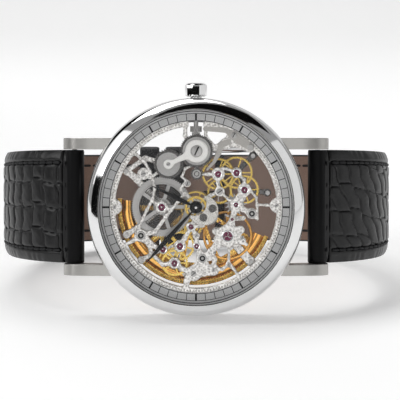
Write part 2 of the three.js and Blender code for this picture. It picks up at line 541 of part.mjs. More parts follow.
// A wheel and its pinion on one arbor.
function wheelAndPinion(at, wheelR, wheelTeeth, level, pinionR, pinionTeeth, pinionZ) {
  return join(
    gear(at, wheelR, wheelTeeth, level, { rim: 0.24, hub: 0.45, spoke: 0.2, spokes: 5, plain: true }),
    gear(at, pinionR, pinionTeeth, pinionZ, { plain: true }), arbor(at, 0.14));
}
const [thirdR, fourthPinionR] = meshing(AT.third, AT.fourth, TEETH.third, TEETH.fourthPinion);
const [fourthR, fifthPinionR] = meshing(AT.fourth, AT.fifth, TEETH.fourth, TEETH.fifthPinion);
const [fifthR, escapePinionR] = meshing(AT.fifth, AT.escape, TEETH.fifth, TEETH.escapePinion);
add("third_wheel", wheelAndPinion(AT.third, thirdR, TEETH.third, LEVEL.a, thirdPinionR, TEETH.thirdPinion,
  [-2, -1.72]), "brass");
add("fourth_wheel", wheelAndPinion(AT.fourth, fourthR, TEETH.fourth, LEVEL.b, fourthPinionR,
  TEETH.fourthPinion,
  [-1.12, -0.86]), "brass");
add("fifth_wheel", wheelAndPinion(AT.fifth, fifthR, TEETH.fifth, LEVEL.c, fifthPinionR, TEETH.fifthPinion,
  [-1.38, -1.1]), "brass");

const ESCAPE_R = 1.78;
function escapeWheel() {
  const at = AT.escape, outline = [];
  for (let i = 0; i < TEETH.escape; i++)
    for (const [r, share] of [[1.25, -0.28], [1.62, 0.1], [ESCAPE_R, 0.16], [ESCAPE_R - 0.1, 0.34],
      [1.25, 0.42]]) {
      const a = ((i + share) / TEETH.escape) * TAU;
      outline.push([at[0] + r * Math.cos(a), at[1] + r * Math.sin(a)]);
    }
  const windows = [0, 1, 2, 3].map((k) => [[1.02, -30], [1.08, 0], [1.02, 30], [0.5, 22],
    [0.5, -22]].map(([r, a]) => {
    const p = polar(r, a + 90 * k);
    return [at[0] + p[0], at[1] + p[1]];
  }));
  return join(slab(outline, LEVEL.b, windows), arbor(at, 0.14),
    gear(at, escapePinionR, TEETH.escapePinion, [-1.66, -1.36], { plain: true }));
}
add("escape_wheel", escapeWheel(), "work");

// Pallet fork, drawn with the escape wheel above it and the balance below, then turned into line.
const FORK_Z = [-1.28, -1.16];
const towardBalance = (Math.atan2(AT.balance[1] - AT.pallet[1],
  AT.balance[0] - AT.pallet[0]) * 180) / Math.PI + 90;
function palletFork() {
  const reach = distance(AT.pallet, AT.balance) - 0.42;
  const body = join(
    strip([[0, 0.1], [0, -reach + 0.35]], [0.4, 0.22], FORK_Z, 2),
    strip([[-1.15, 0.34], [-0.5, 0.3], [0, 0.05], [0.5, 0.3], [1.15, 0.34]], 0.3, FORK_Z, 2),
    strip([[-0.02, -reach + 0.4], [-0.24, -reach + 0.15], [-0.2, -reach]], 0.14, FORK_Z, 2),
    strip([[0.02, -reach + 0.4], [0.24, -reach + 0.15], [0.2, -reach]], 0.14, FORK_Z, 2),
    disc([0, 0], 0.32, FORK_Z, 10), disc([0, 0], 0.11, [-1.44, TRAIN_TOP], 8));
  return turned(body, towardBalance).translate(AT.pallet[0], AT.pallet[1], 0);
}
add("pallet_fork", palletFork(), "work");
const PALLET_BRIDGE_Z = [-1.6, -1.47];
add("pallet_bridge", join(
  strip([[AT.pallet[0], AT.pallet[1]], [7.4, -1.75]], 0.7, PALLET_BRIDGE_Z, 3),
    disc(AT.pallet, 0.45, PALLET_BRIDGE_Z, 10),
  disc([7.4, -1.75], 0.42, [PALLET_BRIDGE_Z[0], PLATE_Z[0] - 0.01], 10)), "plate");

const BALANCE_R = 3.9;
function balanceWheel() {
  const z = [-1.95, -1.66], at = AT.balance;
  const arms = [90, 210, 330].map((a) => {
    const p = polar(BALANCE_R - 0.2, a);
    return strip([at, [at[0] + p[0], at[1] + p[1]]], 0.32, [-1.9, -1.72], 2);
  });
  return join(washer(at, BALANCE_R - 0.4, BALANCE_R, z, 36), ...arms, disc(at, 0.5, [-1.95, -1.66], 12),
    disc(at, 0.17, [TRAIN_BOTTOM, TRAIN_TOP], 10), disc(at, 0.36, [-1.1, -0.96], 12));
}
add("balance_wheel", balanceWheel(), "copper");
add("hairspring", (() => {
  const points = [];
  for (let i = 0; i <= 44; i++) {
    const a = (i / 11) * TAU, r = 0.3 + (1.35 * i) / 44;
    points.push([AT.balance[0] + r * Math.cos(a), AT.balance[1] + r * Math.sin(a)]);
  }
  return strip(points, 0.06, [-1.52, -1.4], 2);
})(), "work");

// ---------------------------------------------------------------- motion works and hands
const [cannonR, minuteR] = meshing(AT.centre, AT.minute, TEETH.cannon, TEETH.minute);
const [hourR, minutePinionR] = meshing(AT.centre, AT.minute, TEETH.hour, TEETH.minutePinion);
add("cannon_pinion", cut(join(
  gear(AT.centre, cannonR, TEETH.cannon, [0.04, 0.3]), disc(AT.centre, 0.38, [0.04, 1.42], 12)),
    disc(AT.centre, 0.29, [-1, 1.2], 12)), "work");
const minutePhase = phaseFor(AT.centre, AT.minute, TEETH.cannon, TEETH.minute);
add("minute_wheel", join(
  gear(AT.minute, minuteR, TEETH.minute, [0.06, 0.26], { phase: minutePhase }),
  gear(AT.minute, minutePinionR, TEETH.minutePinion, [0.26, 0.56]),
  disc(AT.minute, 0.13, [-0.75, 0.3], 8)), "work");
const hourPhase = phaseFor(AT.minute, AT.centre, TEETH.minutePinion, TEETH.hour);
add("hour_wheel", cut(join(
  gear(AT.centre, hourR, TEETH.hour, [0.34, 0.52], { phase: hourPhase, spokes: 5, rim: 0.28, hub: 0.72,
    spoke: 0.25 }),
  disc(AT.centre, 0.62, [0.34, 0.95], 14)), disc(AT.centre, 0.42, [-1, 2], 12)), "brass");

// A lance-shaped hand along +Y with a round hub.
function hand(length, widest, width, hubR, z, boreR) {
  const blade = [[0.12, 0.6], [width / 2, widest * length], [0.04, length - 0.1], [0, length],
    [-0.04, length - 0.1], [-width / 2, widest * length], [-0.12, 0.6]];
  const body = join(slab(blade, z), disc([0, 0], hubR, z, 18));
  return boreR ? cut(body, disc([0, 0], boreR, [-1, 3], 12)) : body;
}
const HANDS_AT = { hour: 26, minute: 312 }; // clockwise from 12 o'clock, in degrees: 12:52
// 12 o'clock is at -X, so a hand drawn along +Y is first turned to -X and then clockwise.
add("hour_hand", turned(hand(7.85, 0.42, 0.62, 0.98, [0.98, 1.12], 0.46), 90 - HANDS_AT.hour), "blackHand");
add("minute_hand", turned(hand(12.2, 0.6, 0.5, 0.8, [1.45, 1.57], 0), 90 - HANDS_AT.minute), "blackHand");

// ---------------------------------------------------------------- winding and setting works
const RATCHET_Z = [-2.7, -2.54];
const [ratchetR, winderPinionR] = meshing(AT.barrel, AT.winder, TEETH.ratchet, TEETH.winderPinion);
add("ratchet_wheel", gear(AT.barrel, ratchetR, TEETH.ratchet, RATCHET_Z,
  { plain: true, spokes: 5, rim: 0.5, hub: 1.1, spoke: 0.5, bore: 0.56 }), "work");
add("barrel_arbor", join(disc(AT.barrel, 0.42, [-2.52, TRAIN_TOP], 12),
  disc(AT.barrel, 0.52, [-2.76, -2.52], 12),
  disc(AT.barrel, 0.8, [-2.82, -2.72], 14)), "work");
add("click", join(strip([AT.click, [-8.95, 3.35], [-8.52, 3.02]], [0.7, 0.5, 0.2], RATCHET_Z, 2),
  strip([AT.click, [-9.7, 5.2]], 0.4, RATCHET_Z, 2)), "work");

const KEYLESS_Z = [0.05, 0.27];
const [crownWheelR, windingR] = meshing(AT.crownWheel, AT.winding, TEETH.crownWheel, TEETH.winding);
const settingR = distance(AT.crownWheel, AT.setting) - crownWheelR;
add("crown_wheel", cut(join(gear(AT.crownWheel, crownWheelR, TEETH.crownWheel, KEYLESS_Z),
  disc(AT.crownWheel, 0.13, [-0.7, 0.1], 8)), disc(AT.crownWheel, 0.3, [0.15, 1], 10)), "work");
const windingPhase = phaseFor(AT.crownWheel, AT.winding, TEETH.crownWheel, TEETH.winding);
add("winding_wheel", join(gear(AT.winding, windingR, TEETH.winding, KEYLESS_Z, { phase: windingPhase }),
  disc(AT.winding, 0.34, [-2.6, 0.1], 10),
  gear(AT.winding, 2.4, 34, RATCHET_Z, { plain: true, spokes: 4, rim: 0.5, hub: 0.8, spoke: 0.5 })), "work");
add("setting_wheel", join(gear(AT.setting, settingR, TEETH.setting, KEYLESS_Z,
  { phase: phaseFor(AT.crownWheel, AT.setting, TEETH.crownWheel, TEETH.setting) }),
  disc(AT.setting, 0.45, [0.1, 0.42], 12), disc(AT.setting, 0.13, [-0.7, 0.1], 8)), "work");
// keyhole-shaped cover over the crown wheel and the winding wheel
add("crown_wheel_cover", join(
  washer(AT.crownWheel, 0.9, 1.8, [0.33, 0.5], 16), disc(AT.winding, 0.78, [0.33, 0.5], 10),
  strip([AT.winding, [-1.6, 7.95]], [0.6, 0.95], [0.33, 0.5], 2),
  disc(AT.crownWheel, 0.26, [0.18, 0.5], 8), disc(AT.crownWheel, 0.95, [0.36, 0.48], 12)), "steel");
const stemAxis = (geometry, y0) => geometry.translate(0, y0, STEM_Z);
const alongStem = (outline, length, y0, holes = []) =>
  stemAxis(slab(outline, [0, length], holes).rotateX(-Math.PI / 2), y0);
const star = (r, teeth, depth) => {
  const points = [];
  for (let i = 0; i < teeth; i++)
    for (const [radius, share] of [[r, -0.22], [r, 0.22], [r - depth, 0.32], [r - depth, 0.68]]) {
      const a = ((i + share) / teeth) * TAU;
      points.push([radius * Math.cos(a), radius * Math.sin(a)]);
    }
  return points;
};
add("winding_pinion", alongStem(star(0.92, TEETH.windingPinion, 0.16), 0.9, 11.72,
  [circle([0, 0], 0.4, 10)]), "work");
add("clutch_wheel", alongStem(star(0.66, 12, 0.12), 1.35, 10.3, [circle([0, 0], 0.4, 10)]), "work");
add("winding_stem", join(
  stemAxis(new THREE.CylinderGeometry(0.36, 0.36, 7.9, 10), 13.45),
    stemAxis(new THREE.CylinderGeometry(0.52, 0.52, 1.2, 12), 16.6)), "work");
const CROWN = { r: 1.72, inner: 17.2, outer: 19.35, facets: 10 };
function crown() {
  const step = TAU / CROWN.facets;
  const level = (y, r) => Array.from({ length: CROWN.facets }, (_, i) =>
    [r * Math.cos((i + 0.5) * step), y, STEM_Z - r * Math.sin((i + 0.5) * step)]);
  const body = outward(loft([level(CROWN.inner, CROWN.r - 0.3), level(CROWN.inner + 0.25, CROWN.r),
    level(CROWN.outer - 0.35, CROWN.r), level(CROWN.outer, CROWN.r - 0.5)]));
  return cut(body, stemAxis(new THREE.CylinderGeometry(1.0, 1.0, 0.6, 16), 17.25),
    stemAxis(new THREE.CylinderGeometry(0.56, 0.56, 1.2, 12), 17.6));
}
add("crown", crown(), "steel");
add("setting_lever", join(strip([AT.lever, [4.5, 12.05], [1.45, 12.15]], [1.1, 0.85, 0.72], [0.04, 0.1], 4),
  disc(AT.lever, 0.62, [0.04, 0.1], 12), disc(AT.lever, 0.12, [0.1, 0.2], 8)), "steel");
add("yoke", join(strip([[5.05, 10.15], AT.yoke, [3.55, 8.4], [2.75, 6.9], [1.75, 5.85]],
  [0.9, 1.05, 0.8, 0.5, 0.3], [0.04, 0.16], 3),
  disc(AT.yoke, 0.12, [0.1, 0.2], 8)), "steel");
add("setting_cover", strip([[5.7, 11.25], [6.9, 10.45], [8.5, 9.35]], [1.4, 1.4, 1.15], [0.23, 0.38], 4),
  "steel");

// ---------------------------------------------------------------- automatic winding
const AUTO_Z = [-2.94, -2.8];
const [rotorPinionR, reverserR] = meshing(AT.centre, AT.reverser, TEETH.rotor, TEETH.reverser);
const [reverserPinionR, reducerR] = meshing(AT.reverser, AT.reducer, TEETH.reverserPinion, TEETH.reducer);
const [reducerPinionR, transferR] = meshing(AT.reducer, AT.transfer, TEETH.reducerPinion, TEETH.transfer);
const [transferPinionR, winderR] = meshing(AT.transfer, AT.winder, TEETH.transferPinion, TEETH.winder);
add("reverser_wheel", join(
  gear(AT.reverser, reverserR, TEETH.reverser, AUTO_Z, { plain: true, spokes: 5, rim: 0.25, hub: 0.5 }),
  arbor(AT.reverser, 0.2, AUTO_Z[0]), gear(AT.reverser, reverserPinionR, TEETH.reverserPinion, LEVEL.m,
    { plain: true })), "brass");
add("reduction_wheel", wheelAndPinion(AT.reducer, reducerR, TEETH.reducer, LEVEL.m, reducerPinionR,
  TEETH.reducerPinion,
  [-1.06, -0.86]), "brass");
add("transfer_wheel", wheelAndPinion(AT.transfer, transferR, TEETH.transfer, LEVEL.a, transferPinionR,
  TEETH.transferPinion,
  [-2, -1.76]), "brass");
add("ratchet_driver", join(
  gear(AT.winder, winderR, TEETH.winder, LEVEL.d, { plain: true, spokes: 5, rim: 0.24, hub: 0.45 }),
  arbor(AT.winder, 0.2, RATCHET_Z[0]),
  gear(AT.winder, winderPinionR, TEETH.winderPinion, RATCHET_Z,
    { plain: true, spokes: 4, rim: 0.4, hub: 0.6, spoke: 0.4 })), "brass");

const RIM = { outer: 12.45, inner: 9.85, from: 174, to: 337 }; // degrees anticlockwise from +X
function sector(inner, outer, from, to, z, steps) {
  const outline = [];
  for (let i = 0; i <= steps; i++) outline.push(polar(outer, from + ((to - from) * i) / steps));
  for (let i = steps; i >= 0; i--) outline.push(polar(inner, from + ((to - from) * i) / steps));
  return slab(outline, z);
}
add("rotor_weight", join(
  sector(11.1, RIM.outer, RIM.from, RIM.to, [-3.85, -3.0], 22),
    sector(RIM.inner, 11.3, RIM.from + 2, RIM.to - 3, [-3.85, -3.3], 22)), "gold");
add("rotor_arms", cut(join(
  sector(8.9, RIM.inner - 0.04, RIM.from + 4, RIM.to - 5, [-3.5, -3.2], 18),
    disc([0, 0], 1.6, [-3.4, -3.02], 20),
  gear([0, 0], rotorPinionR, TEETH.rotor, [-3.05, AUTO_Z[1]], { plain: true }),
  ...[182, 218, 255, 292, 328].map((a) => strip([polar(1, a), polar(9.2, a)], 0.7, [-3.4, -3.2], 2))),
  disc([0, 0], 0.85, [-5, 0], 14)), "gold");
add("rotor_bearing", join(disc([0, 0], 0.8, [-3.5, BRIDGE_Z[0] - 0.01], 14),
  disc([0, 0], 1.3, [-3.62, -3.46], 18)), "work");

// ---------------------------------------------------------------- standing pose
// The watch leans back until the rim of the case and the back of the buckle both touch the ground.
const BACK_DEPTH = -(loopFrame(BUCKLE_S).z - FRAME.lift * 0.75);
const LEAN = Math.atan2(CASE_R - FRAME.halfOuter, BACK_DEPTH + CASE_BOTTOM);
watch.rotation.x = Math.PI / 2 - LEAN;
const root = new THREE.Group();
root.add(watch);
root.updateMatrixWorld(true);
const bounds = new THREE.Box3().setFromObject(watch, true);
watch.position.set(-(bounds.min.x + bounds.max.x) / 2, -(bounds.min.y + bounds.max.y) / 2, -bounds.min.z);

export default root;
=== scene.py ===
"""Looks of the skeleton wristwatch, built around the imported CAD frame.

Every piece is drawn in the dial frame, in millimetres: the hands turn about the origin, +Z points to the
eye, +Y to the crown and -X to 12 o'clock. place() turns that frame into the row frame, in metres.
"""

import json
import math

import bmesh
import bpy
import numpy as np
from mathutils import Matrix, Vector
from mathutils.geometry import tessellate_polygon


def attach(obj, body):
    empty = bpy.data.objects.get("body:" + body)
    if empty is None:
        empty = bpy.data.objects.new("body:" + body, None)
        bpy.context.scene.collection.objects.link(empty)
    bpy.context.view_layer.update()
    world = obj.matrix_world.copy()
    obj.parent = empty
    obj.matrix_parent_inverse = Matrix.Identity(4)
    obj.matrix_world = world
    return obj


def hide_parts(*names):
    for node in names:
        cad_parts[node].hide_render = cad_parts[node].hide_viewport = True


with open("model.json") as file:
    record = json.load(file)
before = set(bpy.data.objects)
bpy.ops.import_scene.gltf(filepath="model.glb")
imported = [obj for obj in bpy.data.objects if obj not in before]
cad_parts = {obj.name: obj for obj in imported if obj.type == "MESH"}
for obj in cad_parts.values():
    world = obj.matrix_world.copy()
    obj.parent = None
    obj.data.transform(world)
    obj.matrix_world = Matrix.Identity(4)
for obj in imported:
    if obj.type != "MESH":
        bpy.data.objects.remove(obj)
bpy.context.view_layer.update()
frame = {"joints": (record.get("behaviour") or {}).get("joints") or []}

TAU = math.tau
MM = 0.001
JOINTS = {j["name"]: j for j in frame["joints"]}
OUT = -Vector(JOINTS["minute_hand_turn"]["axis"])
ORIGIN = Vector(JOINTS["minute_hand_turn"]["pos_m"])
SIDE = Vector((1, 0, 0))
UP = OUT.cross(SIDE)
AXES = np.array([SIDE, UP, OUT])

# ------------------------------------------------------------------ dimensions, as in the CAD part
CASE_R = 17.0
BORE_R = 15.7
CASE_TOP = 0.3
CASE_BOTTOM = -3.7
BACK_Z = -5.1
LUG_GAP = 18.0
LUG_W = 1.8
BAR_X = 19.15
BAR_Z = -3.4
STEM_Z = -0.7
PLATE_R = 13.55
PLATE = (-0.8, 0.0)
BRIDGE = (-2.5, -2.05)
LEVEL = {
    "a": (-1.02, -0.88), "b": (-1.3, -1.14), "c": (-1.58, -1.42), "m": (-1.74, -1.6), "d": (-1.97, -1.79)
}
RATCHET = (-2.7, -2.54)
AUTO = (-2.94, -2.8)
KEYLESS = (0.05, 0.27)
AT = {
    "centre": (0, 0), "barrel": (-5.35, 0), "idler": (3.7, 2.4), "third": (3.45, 5.15),
    "fourth": (6.34, 5.36), "fifth": (7.56, 2.7), "escape": (6.25, 0.38), "pallet": (5.65, -1.92),
    "balance": (4.95, -4.5), "minute": (1.85, -1.15), "reverser": (-0.8, -3.05), "reducer": (-2.5, -6.1),
    "transfer": (-3.35, -8.75), "winder": (-5.15, -6.6), "crown_wheel": (0.1, 8.74), "winding": (-4.3, 6.7),
    "setting": (0.1, 5.2), "lever": (5.9, 11.2), "yoke": (3.9, 9.7), "click": (-9.2, 4.4),
}


# ------------------------------------------------------------------ materials
def new_shader(name, color, rough):
    """A new material and its principled shader, with a plain colour and roughness."""
    mat = bpy.data.materials.new(name)
    mat.use_nodes = True
    shader = mat.node_tree.nodes["Principled BSDF"]
    shader.inputs["Base Color"].default_value = (*color, 1)
    shader.inputs["Roughness"].default_value = rough
    return mat, shader


def material(
    name, color, rough, metal=0.0, bump=0.0, scale=2500.0, pattern="noise", tint=0.0, dark=None, **sockets
):
    """A principled material whose bump, and colour if tint is set, come from a procedural pattern."""
    mat, shader = new_shader(name, color, rough)
    nodes = mat.node_tree.nodes
    links = mat.node_tree.links
    shader.inputs["Metallic"].default_value = metal
    for key, value in sockets.items():
        shader.inputs[key.replace("_", " ")].default_value = value
    where = nodes.new("ShaderNodeTexCoord")
    if pattern == "cells":
        tex = nodes.new("ShaderNodeTexVoronoi")
        tex.inputs["Scale"].default_value = scale
        out = tex.outputs["Distance"]
    elif pattern == "rings":
        tex = nodes.new("ShaderNodeTexWave")
        tex.wave_type = "RINGS"
        tex.inputs["Scale"].default_value = scale
        tex.inputs["Distortion"].default_value = 3.0
        out = tex.outputs["Fac"]
    else:
        tex = nodes.new("ShaderNodeTexNoise")
        tex.inputs["Scale"].default_value = scale
        tex.inputs["Detail"].default_value = 4.0
        out = tex.outputs["Fac"]
    links.new(where.outputs["Object"], tex.inputs["Vector"])
    if bump:
        node = nodes.new("ShaderNodeBump")
        node.inputs["Strength"].default_value = bump
        node.inputs["Distance"].default_value = 0.00005
        links.new(out, node.inputs["Height"])
        links.new(node.outputs["Normal"], shader.inputs["Normal"])
    if tint or dark:
        ramp = nodes.new("ShaderNodeValToRGB")
        other = dark or tuple(c * (1 - tint) for c in color)
        ramp.color_ramp.elements[0].position = 0.15
        ramp.color_ramp.elements[1].position = 0.75
        ramp.color_ramp.elements[0].color = (*other, 1)
        ramp.color_ramp.elements[1].color = (*color, 1)
        links.new(out, ramp.inputs["Fac"])
        links.new(ramp.outputs["Color"], shader.inputs["Base Color"])
    return mat


MATS = {
    "polish": material("polished_steel", (0.8, 0.8, 0.8), 0.07, 1, 0.04, 900, tint=0.04),
    "satin": material("satin_steel", (0.5, 0.49, 0.48), 0.3, 1, 0.15, 6000, tint=0.15),
    "lug": material("lug_steel", (0.47, 0.46, 0.44), 0.34, 1, 0.08, 2500, tint=0.06),
    "brushed": material("brushed_steel", (0.55, 0.53, 0.5), 0.34, 1, 0.3, 5000, "rings", tint=0.2),
    "silver": material(
        "engraved_silver", (1.0, 0.98, 0.95), 0.3, 0.85, 0.7, 3000, "cells", dark=(0.42, 0.4, 0.38)
    ),
    "bright": material("bright_silver", (0.78, 0.76, 0.72), 0.26, 0.95, 0.3, 4200, tint=0.15),
    "pale_steel": material("pale_steel", (0.93, 0.92, 0.89), 0.4, 0.85, 0.12, 5000, tint=0.06),
    "grey_steel": material("grey_steel", (0.16, 0.155, 0.15), 0.25, 1, 0.1, 4000, tint=0.2),
    "brass": material("gilt_brass", (0.95, 0.68, 0.18), 0.24, 1, 0.12, 5000, tint=0.15),
    "gold": material(
        "engraved_gold", (1.0, 0.66, 0.18), 0.26, 0.95, 0.8, 3300, "cells", dark=(0.55, 0.26, 0.04)
    ),
    "copper": material("polished_copper", (0.95, 0.5, 0.13), 0.16, 1, 0.06, 3000, tint=0.1),
    "ruby": material("ruby", (0.16, 0.004, 0.05), 0.08, 0, 0.03, 4000, tint=0.4, Specular_IOR_Level=0.4),
    "hand": material(
        "black_hand", (0.003, 0.003, 0.003), 0.3, 0, 0.03, 5000, tint=0.2, Specular_IOR_Level=0.15
    ),
    "dial": material(
        "grey_dial", (0.56, 0.56, 0.56), 0.5, 0.1, 0.1, 9000, tint=0.06, Specular_IOR_Level=0.2
    ),
    # polished steel whose colour is darkened to paint the shade under the bezel; its reflections are real
    "rehaut": material("rehaut_painted_shade", (0.14, 0.14, 0.14), 0.22, 1, 0.05, 5000, tint=0.06),
    "print": material(
        "black_print", (0.004, 0.004, 0.004), 0.6, 0, 0.02, 9000, tint=0.1, Specular_IOR_Level=0.1
    ),
    # near-black: the crystal gasket's own colour, and painted shade in the screw slots, the collared holes
    # and the back's key slots
    "shade": material(
        "black_gasket_and_painted_shade", (0.02, 0.02, 0.02), 0.5, 0.3, 0.05, 9000, tint=0.1, Specular_IOR_Level=0.2
    ),
    "leather": material(
        "black_leather", (0.004, 0.004, 0.0045), 0.33, 0, 0.3, 3500, tint=0.3, Specular_IOR_Level=0.4
    ),
    "smooth_leather": material(
        "smooth_leather", (0.003, 0.003, 0.0035), 0.35, 0, 0.2, 5000, tint=0.2, Specular_IOR_Level=0.12
    ),
    "lining": material(
        "brown_lining", (0.25, 0.17, 0.135), 0.7, 0, 0.35, 3200, tint=0.25, Specular_IOR_Level=0.2
    ),
    "thread": material(
        "black_thread", (0.008, 0.008, 0.009), 0.6, 0, 0.5, 9000, tint=0.2, Specular_IOR_Level=0.3
    ),
}


def clear_material(name, alpha):
    mat, shader = new_shader(name, (0.97, 0.98, 1.0), 0.02)
    shader.inputs["Alpha"].default_value = alpha
    return mat


MATS["glass"] = clear_material("sapphire", 0.015)


# ------------------------------------------------------------------ mesh building
def around(at, r, a):
    return (at[0] + r * math.cos(a), at[1] + r * math.sin(a))


def polar(r, degrees, at=(0, 0)):
    return around(at, r, math.radians(degrees))


def circle(at, r, n=24):
    return [around(at, r, TAU * i / n) for i in range(n)]


def row_faces(rows, n, closed=False):
    """Faces between rows of n vertices each, every row a ring."""
    faces = []
    for i in range(rows if closed else rows - 1):
        j = (i + 1) % rows
        faces += [(i * n + k, i * n + (k + 1) % n, j * n + (k + 1) % n, j * n + k) for k in range(n)]
    return faces


class Solid:
    """Vertices in the dial frame and faces, gathered from one or more closed shapes."""

    def __init__(self):
        self.verts = []
        self.faces = []
        self.mats = []

    def add(self, verts, faces, mat=0):
        base = len(self.verts)
        self.verts.extend(tuple(map(float, v)) for v in verts)
        self.faces.extend(tuple(base + i for i in f) for f in faces)
        self.mats.extend([mat] * len(faces) if isinstance(mat, int) else mat)
        return self

    def prism(self, outline, z0, z1, holes=(), mat=0):
        """A flat outline with holes, between two heights."""
        rings = [list(outline), *[list(h) for h in holes]]
        flat = [p for r in rings for p in r]
        n = len(flat)
        tris = tessellate_polygon([[Vector((x, y, 0)) for x, y in r] for r in rings])
        verts = [(x, y, z0) for x, y in flat] + [(x, y, z1) for x, y in flat]
        faces = []
        for a, b, c in tris:
            pa, pb, pc = flat[a], flat[b], flat[c]
            if (pb[0] - pa[0]) * (pc[1] - pa[1]) - (pb[1] - pa[1]) * (pc[0] - pa[0]) < 0:
                b, c = c, b
            faces.append((a + n, b + n, c + n))
            faces.append((a, c, b))
        start = 0
        for k, r in enumerate(rings):
            area = sum(
                r[i][0] * r[(i + 1) % len(r)][1] - r[(i + 1) % len(r)][0] * r[i][1] for i in range(len(r))
            )
            outward = (area > 0) == (k == 0)
            for i in range(len(r)):
                a, b = start + i, start + (i + 1) % len(r)
                faces.append((a, b, b + n, a + n) if outward else (b, a, a + n, b + n))
            start += len(r)
        return self.add(verts, faces, mat)

    def disc(self, at, r, z0, z1, n=32, mat=0):
        return self.turned([(0, z0), (r, z0), (r, z1), (0, z1)], at, n, mat)

    def lathe(self, profile, at, n, mat, point):
        """A profile of (radius, height) turned about an axis, closed on itself unless both ends are on it."""
        rings, verts, faces = [], [], []
        for r, h in profile:
            count = n if r else 1
            rings.append([len(verts) + i % count for i in range(n)])
            angles = [TAU * i / n for i in range(count)]
            verts += [point(*around(at, r, a), h) for a in angles]
        if profile[0][0] > 0 or profile[-1][0] > 0:
            rings.append(rings[0])
        for lower, upper in zip(rings, rings[1:]):
            for i in range(n):
                j = (i + 1) % n
                face = tuple(dict.fromkeys((lower[i], lower[j], upper[j], upper[i])))
                if len(face) > 2:
                    faces.append(face)
        return self.add(verts, faces, mat)

    def turned(self, profile, at=(0, 0), n=32, mat=0):
        """A profile of (radius, height) turned about a line parallel to +Z through at."""
        return self.lathe(profile, at, n, mat, lambda u, v, h: (u, v, h))

    def along_y(self, profile, at, n=48, mat=0):
        """A profile of (y, radius) turned about a line parallel to +Y through at, an (x, z) pair."""
        return self.lathe([(r, y) for y, r in profile], at, n, mat, lambda u, v, h: (u, h, v))

    def sweep(self, rings, mat=0):
        """Rings of points joined into a closed body with flat ends."""
        n = len(rings[0])
        verts = [point for ring in rings for point in ring]
        ends = [tuple(range(n)), tuple(range(len(verts) - 1, len(verts) - n - 1, -1))]
        return self.add(verts, ends + row_faces(len(rings), n), mat)

    def strip(self, points, width, z0, z1, mat=0, sides=6):
        """A bar of the given width along a line of points, with round ends."""
        widths = list(width) if isinstance(width, (list, tuple)) else [width] * len(points)
        left, right = [], []
        last = len(points) - 1
        for i, p in enumerate(points):
            a, b = points[max(0, i - 1)], points[min(last, i + 1)]
            length = math.dist(a, b)
            nx, ny = -(b[1] - a[1]) / length, (b[0] - a[0]) / length
            left.append((p[0] + nx * widths[i] / 2, p[1] + ny * widths[i] / 2))
            right.append((p[0] - nx * widths[i] / 2, p[1] - ny * widths[i] / 2))

        def cap(centre, start):
            r, a0 = math.dist(centre, start), math.atan2(start[1] - centre[1], start[0] - centre[0])
            angles = [a0 + math.pi * (k + 1) / sides for k in range(sides - 1)]
            return [around(centre, r, a) for a in angles]

        outline = right + cap(points[-1], right[-1]) + left[::-1] + cap(points[0], left[0])
        return self.prism(outline, z0, z1, (), mat)


def place(verts):
    """Dial-frame millimetres to row-frame metres."""
    return np.asarray(verts, float) @ AXES * MM + np.array(ORIGIN)


def make(name, solid, mats, body, replaces=(), crease=32.0, bevel=0.0):
    """Turns a Solid into a named object that rides on a body."""
    mats = [mats] if isinstance(mats, str) else list(mats)
    mesh = bpy.data.meshes.new(name)
    mesh.from_pydata(place(solid.verts).tolist(), [], solid.faces)
    for key in mats:
        mesh.materials.append(MATS[key])
    mesh.polygons.foreach_set("material_index", solid.mats)
    bm = bmesh.new()
    bm.from_mesh(mesh)
    bmesh.ops.remove_doubles(bm, verts=bm.verts, dist=1e-7)
    bmesh.ops.recalc_face_normals(bm, faces=bm.faces)
    limit = math.radians(crease)
    for edge in bm.edges:
        edge.smooth = len(edge.link_faces) == 2 and edge.calc_face_angle(0.0) < limit
    for face in bm.faces:
        face.smooth = True
    bm.to_mesh(mesh)
    bm.free()
    obj = bpy.data.objects.new(name, mesh)
    bpy.context.scene.collection.objects.link(obj)
    if bevel:
        mod = obj.modifiers.new("edges", "BEVEL")
        mod.width = bevel * MM
        mod.segments = 2
        mod.limit_method = "ANGLE"
        mod.angle_limit = math.radians(35)
        mod.harden_normals = True
    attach(obj, body)
    if replaces:
        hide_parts(*replaces)
    return obj


# ------------------------------------------------------------------ openworked plates from a distance field
def seg(x, y, a, b, wa, wb=None):
    """Distance to a bar from a to b whose half-width goes from wa to wb."""
    wb = wa if wb is None else wb
    dx, dy = b[0] - a[0], b[1] - a[1]
    t = np.clip(((x - a[0]) * dx + (y - a[1]) * dy) / (dx * dx + dy * dy + 1e-12), 0, 1)
    return np.hypot(x - a[0] - t * dx, y - a[1] - t * dy) - (wa + (wb - wa) * t)


def spot(x, y, at, r):
    return np.hypot(x - at[0], y - at[1]) - r


def soft_min(a, b, k):
    h = np.clip(0.5 + 0.5 * (b - a) / k, 0, 1)
    return b * (1 - h) + a * h - k * h * (1 - h)


def field_of(discs, bars, holes=(), fillet=0.35, ring=None):
    """A distance field of bosses and webs that flow into each other, less some holes."""

    def field(x, y):
        total = None
        parts = [spot(x, y, p, r) for p, r in discs]
        for line, w in bars:
            widths = w if isinstance(w, (list, tuple)) else [w] * len(line)
            for i in range(len(line) - 1):
                parts.append(seg(x, y, line[i], line[i + 1], widths[i] / 2, widths[i + 1] / 2))
        for part in parts:
            total = part if total is None else soft_min(total, part, fillet)
        if ring:
            radius = np.hypot(x, y)
            total = soft_min(total, np.maximum(radius - ring[1], ring[0] - radius), fillet)
            total = np.maximum(total, radius - ring[1])
        for p, r in holes:
            total = np.maximum(total, -spot(x, y, p, r))
        return total

    return field


